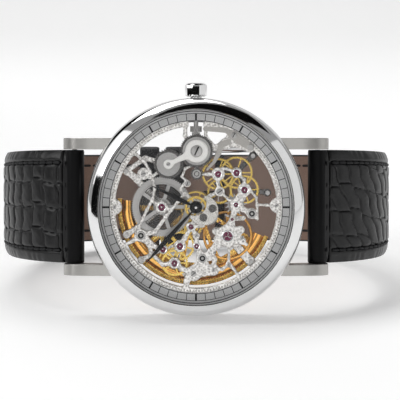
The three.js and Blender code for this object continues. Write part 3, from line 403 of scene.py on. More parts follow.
def openwork(field, lo, hi, z0, z1, step=0.09, chamfer=0.09, relief=None):
    """A plate whose outline is where the field is zero, with a chamfer along every upper edge."""
    solid = Solid()
    nx, ny = int((hi[0] - lo[0]) / step) + 2, int((hi[1] - lo[1]) / step) + 2
    gx, gy = lo[0] + step * np.arange(nx), lo[1] + step * np.arange(ny)
    xx, yy = np.meshgrid(gx, gy, indexing="ij")
    f = field(xx, yy) + chamfer
    inside = f < 0
    index, verts, crossing = {}, [], []

    def node(i, j):
        key = (i, j)
        if key not in index:
            index[key] = len(verts)
            verts.append((gx[i], gy[j]))
        return index[key]

    def edge(i, j, k, m):
        key = (i, j, k, m) if (i, j) < (k, m) else (k, m, i, j)
        if key not in index:
            t = min(0.93, max(0.07, f[i, j] / (f[i, j] - f[k, m])))
            index[key] = len(verts)
            crossing.append(len(verts))
            verts.append((gx[i] + (gx[k] - gx[i]) * t, gy[j] + (gy[m] - gy[j]) * t))
        return index[key]

    polygons, rims = [], []
    some = inside[:-1, :-1] | inside[1:, :-1] | inside[1:, 1:] | inside[:-1, 1:]
    for i, j in np.argwhere(some):
        corners = ((i, j), (i + 1, j), (i + 1, j + 1), (i, j + 1))
        polygon, leave, first = [], None, None
        for k in range(4):
            a, b = corners[k], corners[(k + 1) % 4]
            if inside[a]:
                polygon.append(node(*a))
            if inside[a] != inside[b]:
                e = edge(*a, *b)
                polygon.append(e)
                if inside[a]:
                    leave = e
                elif leave is not None:
                    rims.append((leave, e))
                    leave = None
                else:
                    first = e
        if leave is not None and first is not None:
            rims.append((leave, first))
        if len(polygon) > 2:
            polygons.append(polygon)
    pts = np.array(verts)
    n = len(pts)
    d = 1e-3
    x, y = pts[crossing, 0], pts[crossing, 1]
    grad = np.stack([field(x + d, y) - field(x - d, y), field(x, y + d) - field(x, y - d)], 1)
    grad /= np.maximum(np.linalg.norm(grad, axis=1, keepdims=True), 1e-9)
    rim = pts[crossing] + grad * chamfer
    top = np.full(n, z1)
    if relief is not None:
        top = z1 + relief(pts[:, 0], pts[:, 1])
        top[crossing] = z1
    low = {c: 2 * n + k for k, c in enumerate(crossing)}
    m = len(crossing)
    all_verts = np.concatenate(
        [
            np.column_stack([pts, top]), np.column_stack([pts, np.full(n, z0)]),
            np.column_stack([rim, np.full(m, z1 - chamfer)]), np.column_stack([rim, np.full(m, z0)]),
        ]
    )
    faces = [tuple(p) for p in polygons] + [tuple(n + v for v in reversed(p)) for p in polygons]
    for a, b in rims:
        faces.append((a, low[a], low[b], b))
        faces.append((low[a], low[a] + m, low[b] + m, low[b]))
        faces.append((low[a] + m, n + a, n + b, low[b] + m))
    return solid.add(all_verts, faces)


def scrolls(x, y):
    """Shallow engraving: rows of punched dots that wander over the metal."""
    u = x + 0.35 * np.sin(1.9 * y + 0.6) + 0.2 * np.sin(4.1 * y)
    v = y + 0.35 * np.sin(2.1 * x + 1.1) + 0.2 * np.sin(3.7 * x)
    return 0.03 * np.sin(u * TAU / 0.44) * np.sin(v * TAU / 0.44)


# ------------------------------------------------------------------ wheels
def phase_for(a, b, teeth_a, teeth_b, phase_a=0.0):
    """The angle at which gear b starts, so that its teeth enter the gaps of gear a."""
    to_b = math.atan2(b[1] - a[1], b[0] - a[0])
    offset = math.fmod((to_b - phase_a) * teeth_a / TAU, 1)
    return to_b + math.pi + (offset + 0.5) / teeth_b * TAU


def meshing(a, b, teeth_a, teeth_b):
    """Pitch radii of two gears whose centres are a and b."""
    span = math.dist(a, b)
    return span * teeth_a / (teeth_a + teeth_b), span * teeth_b / (teeth_a + teeth_b)


def gear_pair(a, b, driver, driven):
    """Both pitch radii and the second gear's starting angle, by the names in AT and TEETH."""
    teeth = TEETH[driver], TEETH[driven]
    return *meshing(AT[a], AT[b], *teeth), phase_for(AT[a], AT[b], *teeth)


def wheel(
    solid, at, pitch, teeth, heights, spokes=0, rim=0.26, hub=0.45, spoke=0.2, bore=0.0, phase=0.0, mat=0
):
    """A toothed wheel with rounded teeth and crossed-out spokes."""
    module = 2 * pitch / teeth
    root = 0.98
    shape = (
        (-root, -0.5), (-root, -0.3), (-0.1, -0.24), (0.6, -0.13), (0.82, 0.0), (0.6, 0.13), (-0.1, 0.24),
        (-root, 0.3)
    )
    outline = []
    for i in range(teeth):
        for lift, share in shape:
            a = phase + (i + share) / teeth * TAU
            outline.append(
                (
                    at[0] + (pitch + lift * module) * math.cos(a),
                    at[1] + (pitch + lift * module) * math.sin(a)
                )
            )
    outer = pitch - root * module - rim
    holes = [circle(at, bore, 20)] if bore else []
    for i in range(spokes):
        step = TAU / spokes
        middle = phase + (i + 0.5) * step
        wide, narrow = step / 2 - spoke / 2 / outer, step / 2 - spoke / 2 / hub
        window = [(outer, middle + wide * (k / 5 - 1)) for k in range(11)]
        window += [(hub, middle + narrow * (1 - k / 2)) for k in range(5)]
        holes.append([around(at, r, a) for r, a in window])
    return solid.prism(outline, heights[0], heights[1], holes, mat)


ARBOR = (-2.02, -0.83)


def arbor(solid, at, r=0.14, low=ARBOR[0], mat=0):
    return solid.disc(at, r, low, ARBOR[1], 16, mat)


# ------------------------------------------------------------------ case
SMOOTH = 192


def lug(solid, end, side):
    """One straight lug: a bar with a softened top, running from the case to past the spring bar."""
    top = [(12.6, -0.3), (16.5, -0.5), (18.6, -0.75), (19.6, -1.15), (20.4, -1.75), (20.85, -2.5)]
    low = [(20.85, -4.15), (20.6, -4.6), (20.2, -4.85), (17.6, -4.75), (14.5, -4.0), (12.6, -3.5)]
    y0 = side * LUG_GAP / 2
    y1 = side * (LUG_GAP / 2 + LUG_W)
    profile = [(end * x, z) for x, z in top + low]
    solid.sweep([[(x, y, z) for x, z in profile] for y in (y0, y1)], 1)


shell = Solid()
shell.turned(
    [
        (BORE_R, CASE_BOTTOM), (16.3, CASE_BOTTOM), (16.75, CASE_BOTTOM + 0.18),
        (CASE_R, CASE_BOTTOM + 0.55), (CASE_R, CASE_TOP - 0.25), (16.93, CASE_TOP - 0.06), (16.8, CASE_TOP),
        (BORE_R, CASE_TOP)
    ],
    n=SMOOTH
)
for end in (-1, 1):
    for side in (-1, 1):
        lug(shell, end, side)
make("case_shell", shell, ["polish", "lug"], "case", ["case_band"], bevel=0.12)

bezel_curve = [
    (17.0, CASE_TOP + 0.03), (17.0, 0.36), (16.96, 0.44), (16.86, 0.46), (16.86, 0.52)
] + [(16.93 - 1.62 * t ** 1.5, 0.58 + 1.84 * t ** 0.72) for t in np.linspace(0, 1, 20)]
bezel_curve += [(15.24, 2.46), (15.2, 2.4), (15.2, CASE_TOP + 0.03)]
make("bezel_ring", Solid().turned(bezel_curve, n=SMOOTH), "polish", "case", ["bezel"], crease=26)
make(
    "crystal_glass",
    Solid().turned([(0, 1.72), (15.1, 1.72), (15.17, 1.79), (15.17, 2.3), (14.72, 2.69), (0, 2.7)], n=96),
    "glass", "case", ["crystal"]
)
gasket = Solid().turned([(15.172, 1.8), (15.195, 1.8), (15.195, 2.25), (15.172, 2.25)], n=96)
make("crystal_gasket", gasket, "shade", "case")

chapter = Solid()
chapter.turned(
    [
        (13.42, 0.12), (15.15, 0.12), (15.15, 1.66), (15.08, 1.66), (15.0, 0.98), (14.9, 0.98),
        (14.86, 0.62), (14.66, 0.6), (14.62, 0.5), (13.5, 0.5), (13.42, 0.44)
    ],
    n=SMOOTH
)
make("chapter_ring_body", chapter, "dial", "case", ["chapter_ring"])
# a thin dark skin laid on the chapter ring's step under the bezel: painted shade
lip = Solid().turned(
    [
        (14.68, 0.6), (14.86, 0.62), (14.9, 0.985), (15.0, 0.985), (15.08, 1.6), (15.14, 1.6),
        (15.14, 0.55), (14.68, 0.55)
    ],
    n=SMOOTH
)
make("rehaut", lip, "rehaut", "case")
scale = Solid()
for r, w in ((13.45, 0.09), (14.54, 0.11), (14.94, 0.05)):
    z = 0.5 if r < 14.8 else 0.985
    scale.turned([(r, z - 0.02), (r + w, z - 0.02), (r + w, z + 0.012), (r, z + 0.012)], n=SMOOTH)
for i in range(60):
    a = TAU * i / 60
    bold = i % 5 == 0
    inner, outer, half = (13.52, 14.58, 0.13) if bold else (13.5, 14.58, 0.052)
    if i % 15 == 0:
        half = 0.15
    radial, across = np.array([math.cos(a), math.sin(a)]), np.array([-math.sin(a), math.cos(a)])
    corners = [
        radial * inner - across * half, radial * outer - across * half, radial * outer + across * half,
        radial * inner + across * half
    ]
    scale.prism([tuple(c) for c in corners], 0.48, 0.513)
make("minute_scale", scale, "print", "case")

make(
    "movement_holder",
    Solid().turned([(13.62, -2.6), (15.6, -2.6), (15.6, 0.08), (13.7, 0.08), (13.62, 0.0)], n=SMOOTH),
    "satin", "case", ["movement_ring"]
)
back = Solid().turned(
    [
        (13.3, BACK_Z), (15.6, BACK_Z), (16.08, BACK_Z + 0.12), (16.33, -4.5), (16.33, CASE_BOTTOM - 0.03),
        (15.6, CASE_BOTTOM - 0.03), (15.0, -2.75), (14.9, -4.0), (13.3, -4.0)
    ],
    n=SMOOTH
)
for i in range(6):  # slots for the opening key, drawn as flat near-black discs of painted shade, not cut
    x, y = polar(15.2, 30 + 60 * i)
    back.disc((x, y), 0.42, BACK_Z, BACK_Z + 0.1, 20, 1)
make("case_back_ring", back, ["polish", "shade"], "case", ["case_back"])
make(
    "back_glass",
    Solid().turned([(0, -4.95), (13.1, -4.95), (13.22, -4.85), (13.22, -4.1), (0, -4.1)], n=96), "glass",
    "case", ["back_crystal"]
)

# ------------------------------------------------------------------ mainplate, seen from the dial side
BOSSES = [
    (AT["barrel"], 1.0), (AT["third"], 1.05), (AT["fourth"], 0.82), (AT["fifth"], 1.05),
    (AT["escape"], 1.0), (AT["pallet"], 0.42), (AT["balance"], 1.75), (AT["reverser"], 0.72),
    (AT["reducer"], 0.95), (AT["transfer"], 0.9), (AT["winder"], 0.72), (AT["idler"], 0.78),
    ((-8.6, -4.45), 1.0), ((1.0, -8.0), 0.95), ((8.72, -1.02), 0.85), ((-8.2, 5.2), 0.95),
    ((-1.35, 3.65), 0.55), ((-0.4, -10.4), 1.15), ((2.7, -9.8), 0.85), ((0.05, -4.45), 0.55),
    ((0.1, -6.1), 0.62), ((-12.75, 0), 1.2), ((12.75, 0.25), 1.2), (AT["setting"], 0.8),
    (AT["crown_wheel"], 1.2), ((0, 0), 1.25), ((1.2, -9.8), 1.0),
]
WEBS = [
    ([(-10.3, 8.6), (-9.3, 8.2), (-8.0, 7.0), (-7.2, 5.6), (-6.75, 4.3)], 0.42),
    (
        [
            (-6.75, 4.3), (-6.45, 2.9), (-6.75, 1.3), (-7.7, -0.5), (-8.35, -1.9), (-8.9, -3.2),
            (-8.6, -4.45)
        ],
        0.42
    ),
    ([(-8.2, 5.2), (-7.2, 4.6)], 0.5),
    ([(-1.7, 2.1), (-2.7, 0.95), (-4.6, -1.4), (-6.4, -3.85), (-8.6, -4.45)], [0.4, 0.46, 0.46, 0.6, 1.0]),
    ([AT["barrel"], (-3.95, -0.35)], 0.5), ([AT["barrel"], (-6.75, 0.9)], 0.5),
    ([(-1.7, 2.1), (-2.5, 2.8), (-1.9, 3.5), (-1.35, 3.65)], 0.36),
    ([(-1.35, 3.9), (-2.2, 4.8), (-1.7, 6.0), (-0.6, 6.5)], 0.4), ([(-1.7, 2.1), (0, 0.6)], 0.5),
    ([(-8.6, -4.45), (-9.9, -5.3), (-11.3, -6.0)], [1.2, 0.55, 0.55]),
    ([(-8.6, -4.45), (-7.3, -5.6), (-5.9, -6.5), AT["winder"]], [1.5, 1.0, 0.7, 0.7]),
    ([(-7.4, -5.6), (-7.0, -7.2), (-5.2, -9.0), AT["transfer"]], [0.7, 0.6, 0.6, 0.8]),
    ([AT["transfer"], (-2.0, -9.7), (-0.4, -10.4)], [0.7, 0.7, 1.2]),
    ([AT["reducer"], (-1.7, -4.9), AT["reverser"], (-0.3, -2.4), (0.2, -1.0)], 0.55),
    ([AT["reverser"], (0.05, -4.45), (0.1, -6.1), (1.0, -8.0)], [0.7, 0.55, 0.75, 1.2]),
    ([AT["reverser"], (1.1, -2.9)], 0.6), ([(1.0, -8.0), (0.9, -9.4), (-0.4, -10.4)], [1.3, 2.4, 2.2]),
    ([(0.6, -10.0), (2.7, -9.8)], 1.7), ([(-1.0, -10.6), (-1.45, -11.6), (-1.6, -12.7)], [1.3, 0.9, 0.9]),
    ([(1.0, -8.0), (2.3, -7.0), (3.3, -5.9), (3.9, -5.2)], [0.8, 1.0, 1.1, 1.2]),
    ([(2.7, -9.8), (2.9, -8.2), (2.4, -7.0)], 0.7), ([(5.15, -6.0), (5.1, -8.9)], 0.42),
    ([(5.1, -8.9), (5.9, -9.7), (6.8, -11.0)], [0.8, 0.42, 0.45]),
    ([(2.7, -9.8), (4.1, -9.7), (5.1, -9.0)], 0.5), ([AT["balance"], (3.1, -3.75)], [2.6, 1.2]),
    ([AT["balance"], (3.2, -4.95)], [2.4, 0.9]), ([AT["balance"], (6.95, -3.6)], [2.6, 1.3]),
    ([AT["balance"], (7.3, -5.3)], [2.8, 1.1]), ([(6.9, -5.4), (7.9, -5.85)], 0.5),
    ([AT["balance"], AT["pallet"]], [2.9, 0.75]), ([AT["pallet"], AT["escape"]], [0.6, 1.5]),
    ([AT["escape"], (7.0, 1.5), AT["fifth"]], [1.6, 1.25, 1.4]),
    ([AT["fifth"], (7.5, 4.3), AT["fourth"]], [0.7, 0.42, 0.6]),
    ([AT["fourth"], (4.9, 5.95), (4.2, 6.0), AT["third"]], [0.5, 0.4, 0.4, 0.6]),
    ([AT["third"], (3.4, 3.7), AT["idler"]], 0.5),
    ([AT["idler"], (5.0, 1.3), AT["escape"]], [0.5, 0.4, 0.9]),
    ([AT["idler"], (2.2, 1.8), (1.0, 1.0)], 0.5),
    ([AT["escape"], (7.4, -0.4), (8.72, -1.02)], [1.1, 0.8, 1.0]),
    ([(8.72, -1.02), (9.55, -1.9)], [0.9, 0.35]),
    ([(9.6, -1.8), (9.55, 0.2), (9.4, 1.5), (8.5, 2.6), AT["fifth"]], 0.36),
    ([(9.5, 0.35), (11.0, 0.3), (12.4, 0.25)], 0.36), ([AT["third"], (2.0, 5.1), AT["setting"]], 0.5),
    ([AT["setting"], (0.1, 7.0), AT["crown_wheel"]], 0.6),
    ([AT["winding"], (-2.1, 7.8), AT["crown_wheel"]], 0.7),
    ([AT["winding"], (-5.6, 5.6), (-7.0, 4.7)], 0.5), ([(1.6, 12.6), (1.5, 11.0), (3.0, 9.3)], 0.5),
    ([(-1.6, 12.9), (-1.7, 11.2), (-1.0, 9.6)], 0.6),
    ([(1.0, 9.0), (3.2, 9.2), (4.6, 9.9), (6.0, 10.6), (8.4, 9.4)], [0.8, 1.0, 1.6, 2.3, 1.7]),
    ([(5.8, 11.0), (7.6, 10.7)], 2.0),
]
HOLES = [
    (AT["minute"], 0.16), (AT["crown_wheel"], 0.16), (AT["setting"], 0.16), (AT["winding"], 0.4),
    ((0, 0), 0.34)
]
plate_field = field_of(BOSSES, WEBS, HOLES, 0.3, (12.62, PLATE_R - 0.02))


def plate_with_stem_bed(x, y):
    bed = np.maximum(np.abs(x) - 1.15, np.maximum(9.8 - y, y - 14.0))
    return np.maximum(plate_field(x, y), -bed)


make(
    "mainplate_engraved",
    openwork(plate_with_stem_bed, (-13.7, -13.7), (13.7, 13.7), *PLATE, 0.085, 0.1, scrolls), "silver",
    "case", ["mainplate"], crease=40
)

# Beads raised along the plate's rim.
beads = Solid()
for i in range(180):
    a = 360 * i / 180
    if 55 < a < 100:  # the setting lever swings over the rim here, and the stem passes
        continue
    x, y = polar(13.1, a)
    beads.turned([(0.17, -0.02), (0.14, 0.06), (0.08, 0.1), (0, 0.115), (0, -0.02)], (x, y), 8)
make("rim_beads", beads, "bright", "case")

# ------------------------------------------------------------------ bridges
BRIDGE_FEET = (
    (-10.9, 5.6), (-10.9, -4.4), (-1.6, 8.4), (8.9, 8), (11.2, 2.2), (-1.2, -11.3), (-8.6, -8.4),
    (8.6, -8.6)
)
TRAIN = ("idler", "third", "fourth", "fifth", "escape")
BRIDGES = (  # name, look, grid step, low corner, high corner, bosses, webs, holes
    (
        "barrel_bridge", "silver", 0.11, (-12.6, -6), (0, 10),
        [
            (AT["barrel"], 1.4), (AT["winding"], 0.95), ((-10.9, 5.6), 0.62), ((-10.9, -4.4), 0.62),
            ((-1.6, 8.4), 0.8), (AT["click"], 0.65)
        ],
        [
            ([(-10.9, 5.6), (-8.2, 3.2), AT["barrel"], (-8.2, -2.6), (-10.9, -4.4)], 0.9),
            ([(-10.9, 5.6), (-8, 7.6), AT["winding"]], 0.8), ([AT["winding"], (-1.6, 8.4)], 0.9),
            ([(-10.9, 5.6), AT["click"]], 0.8)
        ],
        [(AT["barrel"], 0.55), (AT["winding"], 0.4)]
    ),
    (
        "train_bridge", "grey_steel", 0.11, (-2, -1.5), (12.6, 9.4),
        [((0, 0), 1.2)] + [(AT[n], 0.75) for n in TRAIN] + [((8.9, 8), 0.6), ((11.2, 2.2), 0.6)],
        [
            ([AT[n] for n in ("centre", *TRAIN, "idler")], 0.6), ([AT["fourth"], (8.9, 8)], 0.8),
            ([AT["fifth"], (11.2, 2.2)], 0.8)
        ],
        [(AT["centre"], 0.32)]
    ),
    (
        "automatic_bridge", "silver", 0.11, (-10, -12.6), (1, -1.5),
        [
            (AT["reverser"], 1.0), (AT["reducer"], 0.8), (AT["transfer"], 0.8), (AT["winder"], 0.8),
            ((-1.2, -11.3), 0.6), ((-8.6, -8.4), 0.6)
        ],
        [
            ([AT["reverser"], AT["reducer"], AT["transfer"], (-1.2, -11.3)], 0.75),
            ([AT["reducer"], AT["winder"], (-8.6, -8.4)], 0.7)
        ],
        [(AT["reverser"], 0.25), (AT["winder"], 0.25)]
    ),
    (
        "balance_cock", "silver", 0.1, (3, -10.5), (10.5, -2.5),
        [(AT["balance"], 1.15), ((8.6, -8.6), 0.72)], [([AT["balance"], (7.6, -7.6), (8.6, -8.6)], 1.3)], ()
    ),
)
for name, look, step, low, high, bosses, webs, holes in BRIDGES:
    plate = openwork(field_of(bosses, webs, holes), low, high, *BRIDGE, step, 0.08)
    make(name + "_plate", plate, look, "case", [name], crease=40)
posts = Solid()
for at in BRIDGE_FEET:
    posts.disc(at, 0.34, BRIDGE[1] - 0.02, PLATE[0], 20)
make("bridge_pillars", posts, "satin", "case")
fork_bridge = Solid().strip([AT["pallet"], (7.4, -1.75)], 0.7, -1.6, -1.47, sides=8)
fork_bridge.disc((7.4, -1.75), 0.36, -1.47, PLATE[0], 20)
make("pallet_bridge_plate", fork_bridge, "bright", "case", ["pallet_bridge"], bevel=0.03)


# ------------------------------------------------------------------ jewels and screws
def jewel(solid_ruby, solid_steel, at, r, z, up=1, chaton=0.12):
    """A domed ruby with a pivot in its hole, in a polished setting; up is the side it is seen from."""
    def h(v):
        return z + up * v
    solid_steel.turned(
        [
            (r - 0.02, h(-0.06)), (r + chaton, h(-0.06)), (r + chaton, h(0.02)),
            (r + chaton * 0.6, h(0.05)), (r - 0.02, h(0.0))
        ],
        at, 32
    )
    solid_ruby.turned(
        [
            (0, h(-0.05)), (r, h(-0.05)), (r, h(0.0)), (r * 0.8, h(0.045)), (r * 0.42, h(0.05)),
            (r * 0.3, h(-0.01)), (0, h(-0.02))
        ],
        at, 32
    )
    solid_steel.turned([(0, h(-0.02)), (r * 0.13, h(-0.02)), (r * 0.13, h(0.03)), (0, h(0.04))], at, 16)


def screw(steel, dark, at, r, z, angle, up=1):
    """A polished screw head; its slot is not cut but drawn as a near-black bar of painted shade across it."""
    def h(v):
        return z + up * v
    steel.turned(
        [(0, h(0.0)), (r * 0.94, h(0.0)), (r * 0.94, h(0.05)), (r * 0.8, h(0.09)), (0, h(0.09))], at, 28
    )
    a = math.radians(angle)
    along, across = np.array([math.cos(a), math.sin(a)]) * r * 0.82, np.array(
        [-math.sin(a), math.cos(a)]
    ) * r * 0.13
    c = np.array(at)
    # the slot: a near-black bar standing just proud of the head, painted shade
    low, high = sorted((h(0.07), h(0.096)))
    dark.prism(
        [
            tuple(c - along - across), tuple(c + along - across), tuple(c + along + across),
            tuple(c - along + across)
        ],
        low, high
    )


ruby, setting, steel, dark = Solid(), Solid(), Solid(), Solid()
for key, r in (
    ("barrel", 0.55), ("third", 0.5), ("fourth", 0.5), ("fifth", 0.52), ("escape", 0.36), ("reverser", 0.4),
    ("reducer", 0.52), ("winder", 0.48), ("transfer", 0.5)
):
    jewel(ruby, setting, AT[key], r, 0.02)
jewel(ruby, setting, (0.1, -6.1), 0.4, 0.02)
jewel(ruby, setting, AT["pallet"], 0.2, 0.02, chaton=0.06)
jewel(ruby, setting, (3.7, -2.4), 0.16, 0.0, chaton=0.05)
for key, r in (
    ("third", 0.36), ("fourth", 0.36), ("fifth", 0.36), ("escape", 0.3), ("reducer", 0.36),
    ("transfer", 0.36), ("balance", 0.45)
):
    flush = 0.06 if key in ("reducer", "transfer") else 0.0  # the ratchet driver turns just behind these two
    jewel(ruby, setting, AT[key], r, BRIDGE[0] - 0.01 + flush, -1)
# the balance's shock setting: a larger ruby cap under a three-legged spring
setting.turned([(0.72, -0.05), (0.95, -0.05), (0.95, 0.06), (0.88, 0.1), (0.72, 0.04)], AT["balance"], 40)
ruby.turned([(0, -0.03), (0.74, -0.03), (0.74, 0.03), (0.5, 0.08), (0, 0.1)], AT["balance"], 40)
for k in range(3):
    steel.strip(
        [
            polar(0.1, 100 + 120 * k, AT["balance"]), polar(0.42, 75 + 120 * k, AT["balance"]),
            polar(0.72, 100 + 120 * k, AT["balance"])
        ],
        0.09, 0.09, 0.13
    )
for at in ((-8.6, -4.45), (1.0, -8.0), (8.72, -1.02)):  # screws sunk in collared holes; the near-black disc inside each collar is painted shade
    steel.turned([(0.46, 0.0), (0.7, 0.0), (0.7, 0.06), (0.62, 0.1), (0.46, 0.08)], at, 36)
    dark.disc(at, 0.47, 0.0, 0.03, 28)
    steel.turned([(0, 0.02), (0.2, 0.02), (0.2, 0.09), (0.14, 0.12), (0, 0.12)], at, 20)
for at, r, angle in (
    ((-8.2, 5.2), 0.42, 15), ((-1.35, 3.65), 0.42, 70), (AT["idler"], 0.55, 35), ((0.05, -4.45), 0.3, 50),
    ((2.7, -9.8), 0.3, 80), ((-0.4, -10.45), 0.48, 40), ((-12.7, 0.0), 0.3, 60), ((12.55, 0.25), 0.3, 30),
    ((3.15, -3.3), 0.24, 20), ((7.2, -4.75), 0.34, 75), ((2.9, -7.1), 0.24, 15), ((5.1, -9.0), 0.34, 120),
    ((7.35, -5.35), 0.2, 0)
):
    screw(steel, dark, at, r, 0.01, angle)
for at in BRIDGE_FEET:
    screw(steel, dark, at, 0.5, BRIDGE[0], 25, -1)
make("jewels", ruby, "ruby", "case")
make("jewel_settings", setting, "polish", "case")
make("screws", steel, "satin", "case")
# near-black bars and discs: painted shade in the screw slots and in the collared holes
make("screw_slot_painted_shade", dark, "shade", "case")

# ------------------------------------------------------------------ barrel and going train
TEETH = {
    "barrel": 84, "centre_pinion": 12, "centre": 60, "idler": 47, "third_pinion": 20, "third": 64,
    "fourth_pinion": 10, "fourth": 75, "fifth_pinion": 12, "fifth": 60, "escape_pinion": 10, "cannon": 12,
    "minute": 36, "minute_pinion": 10, "hour": 40, "rotor": 27, "reverser": 36, "reverser_pinion": 24,
    "reducer": 46, "reducer_pinion": 16, "transfer": 48, "transfer_pinion": 10, "winder": 46,
    "winder_pinion": 36, "ratchet": 63, "winding_pinion": 14, "crown_wheel": 52, "winding": 45,
    "setting": 18
}
barrel_r, centre_pinion_r, p_centre = gear_pair("barrel", "centre", "barrel", "centre_pinion")
barrel = Solid()
wheel(barrel, AT["barrel"], barrel_r, TEETH["barrel"], (-1.12, -0.9), 5, 0.95, 0.95, 0.55, bore=0.5)
barrel.turned([(4.0, -1.52), (4.25, -1.52), (4.25, -1.0), (4.0, -1.0)], AT["barrel"], 96)
barrel.turned([(3.55, -0.9), (3.6, -0.86), (3.78, -0.86), (3.83, -0.9)], AT["barrel"], 96)
make("barrel", barrel, "satin", "barrel", ["barrel_drum"], crease=30)


def spiral(solid, at, r0, r1, turns, width, z0, z1, steps=60):
    points = []
    for i in range(int(turns * steps) + 1):
        t = i / (turns * steps)
        points.append(polar(r0 + (r1 - r0) * t, 360 * turns * t, at))
    return solid.strip(points, width, z0, z1, sides=3)


make(
    "mainspring_coil", spiral(Solid(), AT["barrel"], 3.9, 1.2, 9, 0.1, -1.48, -1.17), "grey_steel",
    "barrel", ["mainspring"]
)
centre_r, idler_r, p_idler = gear_pair("centre", "idler", "centre", "idler")
third_pinion_r = math.dist(AT["idler"], AT["third"]) - idler_r
third_r, fourth_pinion_r, p_fourth = gear_pair("third", "fourth", "third", "fourth_pinion")
fourth_r, fifth_pinion_r, p_fifth = gear_pair("fourth", "fifth", "fourth", "fifth_pinion")
fifth_r, escape_pinion_r, p_escape = gear_pair("fifth", "escape", "fifth", "escape_pinion")
p_third = phase_for(AT["idler"], AT["third"], TEETH["idler"], TEETH["third_pinion"], p_idler)

train = Solid()
wheel(train, AT["centre"], centre_r, TEETH["centre"], LEVEL["d"], 5, 0.22, 0.75, 0.25)
wheel(train, AT["centre"], centre_pinion_r, TEETH["centre_pinion"], (-1.55, -0.88), phase=p_centre, mat=1)
train.disc(AT["centre"], 0.5, -1.9, -1.5, 24, 1)
train.disc(AT["centre"], 0.26, -2.02, 0.95, 20, 1)
make("centre_wheel_gilt", train, ["brass", "satin"], "centre_wheel", ["centre_wheel"])
idler = wheel(Solid(), AT["idler"], idler_r, TEETH["idler"], LEVEL["d"], 4, 0.22, 0.5, phase=p_idler)
make(
    "intermediate_wheel_gilt", arbor(idler, AT["idler"], 0.13), "brass", "intermediate_wheel",
    ["intermediate_wheel"]
)
for key, r, level, pinion_r, pinion_z, phase in (
    ("third", third_r, LEVEL["a"], third_pinion_r, (-2.0, -1.72), p_third),
    ("fourth", fourth_r, LEVEL["b"], fourth_pinion_r, (-1.12, -0.86), p_fourth),
    ("fifth", fifth_r, LEVEL["c"], fifth_pinion_r, (-1.38, -1.1), p_fifth)
):
    body = Solid()
    wheel(body, AT[key], r, TEETH[key], level, 5, 0.24, 0.45, 0.2)
    wheel(body, AT[key], pinion_r, TEETH[key + "_pinion"], pinion_z, phase=phase, mat=1)
    arbor(body, AT[key], mat=1)
    make(key + "_wheel_gilt", body, ["brass", "satin"], key + "_wheel", [key + "_wheel"])

escape = Solid()
outline = []
for i in range(15):  # club-shaped teeth
    for r, share in (
        (1.25, -0.28), (1.4, -0.05), (1.62, 0.1), (1.78, 0.16), (1.68, 0.34), (1.45, 0.3), (1.25, 0.42)
    ):
        outline.append(around(AT["escape"], r, TAU * (i + share) / 15))
windows = [
    [
        polar(r, a + 90 * k, AT["escape"])
        for r, a in ((1.02, -30), (1.06, -10), (1.06, 10), (1.02, 30), (0.5, 22), (0.5, -22))
    ]
    for k in range(4)
]
escape.prism(outline, *LEVEL["b"], windows)
wheel(escape, AT["escape"], escape_pinion_r, TEETH["escape_pinion"], (-1.66, -1.36), phase=p_escape)
make("escape_wheel_steel", arbor(escape, AT["escape"]), "satin", "escape_wheel", ["escape_wheel"])

turn = math.atan2(AT["balance"][1] - AT["pallet"][1], AT["balance"][0] - AT["pallet"][0]) + math.pi / 2
cos_t, sin_t = math.cos(turn), math.sin(turn)


def at_fork(points):
    return [
        (AT["pallet"][0] + x * cos_t - y * sin_t, AT["pallet"][1] + x * sin_t + y * cos_t)
        for x, y in points
    ]


reach = math.dist(AT["pallet"], AT["balance"]) - 0.42
fork = Solid()
fork.strip(at_fork([(0, 0.1), (0, -reach + 0.35)]), [0.4, 0.22], -1.28, -1.16)
fork.strip(at_fork([(-1.15, 0.34), (-0.5, 0.3), (0, 0.05), (0.5, 0.3), (1.15, 0.34)]), 0.3, -1.28, -1.16)
for side in (-1, 1):
    fork.strip(
        at_fork([(0.02 * side, -reach + 0.4), (0.24 * side, -reach + 0.15), (0.2 * side, -reach)]), 0.13,
        -1.28, -1.16
    )
    fork.prism(
        at_fork(
            [
                (1.02 * side - 0.09, 0.3), (1.02 * side + 0.09, 0.3), (1.02 * side + 0.09, 0.62),
                (1.02 * side - 0.09, 0.58)
            ]
        ),
        -1.27, -1.17, mat=1
    )
fork.disc(AT["pallet"], 0.11, -1.44, -0.83, 16)
make("pallet_fork_steel", fork, ["satin", "ruby"], "pallet_fork", ["pallet_fork"])

balance = Solid()
balance.turned(
    [(3.5, -1.95), (3.9, -1.95), (3.9, -1.72), (3.84, -1.66), (3.56, -1.66), (3.5, -1.72)], AT["balance"],
    128
)
for a in (90, 210, 330):
    p, q = AT["balance"], polar(3.6, a, AT["balance"])
    balance.strip([p, polar(1.8, a, p), q], [0.55, 0.34, 0.62], -1.9, -1.72)
for k in range(12):  # timing screws in the rim
    x, y = polar(3.7, 15 + 30 * k, AT["balance"])
    balance.disc((x, y), 0.14, -1.66, -1.63, 16)
balance.disc(AT["balance"], 0.5, -1.95, -1.66, 32)
balance.disc(AT["balance"], 0.36, -1.1, -0.96, 24, 1)
balance.disc(AT["balance"], 0.17, -2.02, -0.83, 16, 1)
make("balance_copper", balance, ["copper", "satin"], "balance", ["balance_wheel"], bevel=0.02)
make(
    "hairspring_coil", spiral(Solid(), AT["balance"], 0.34, 1.65, 7, 0.045, -1.52, -1.4, 40), "satin",
    "case", ["hairspring"]
)

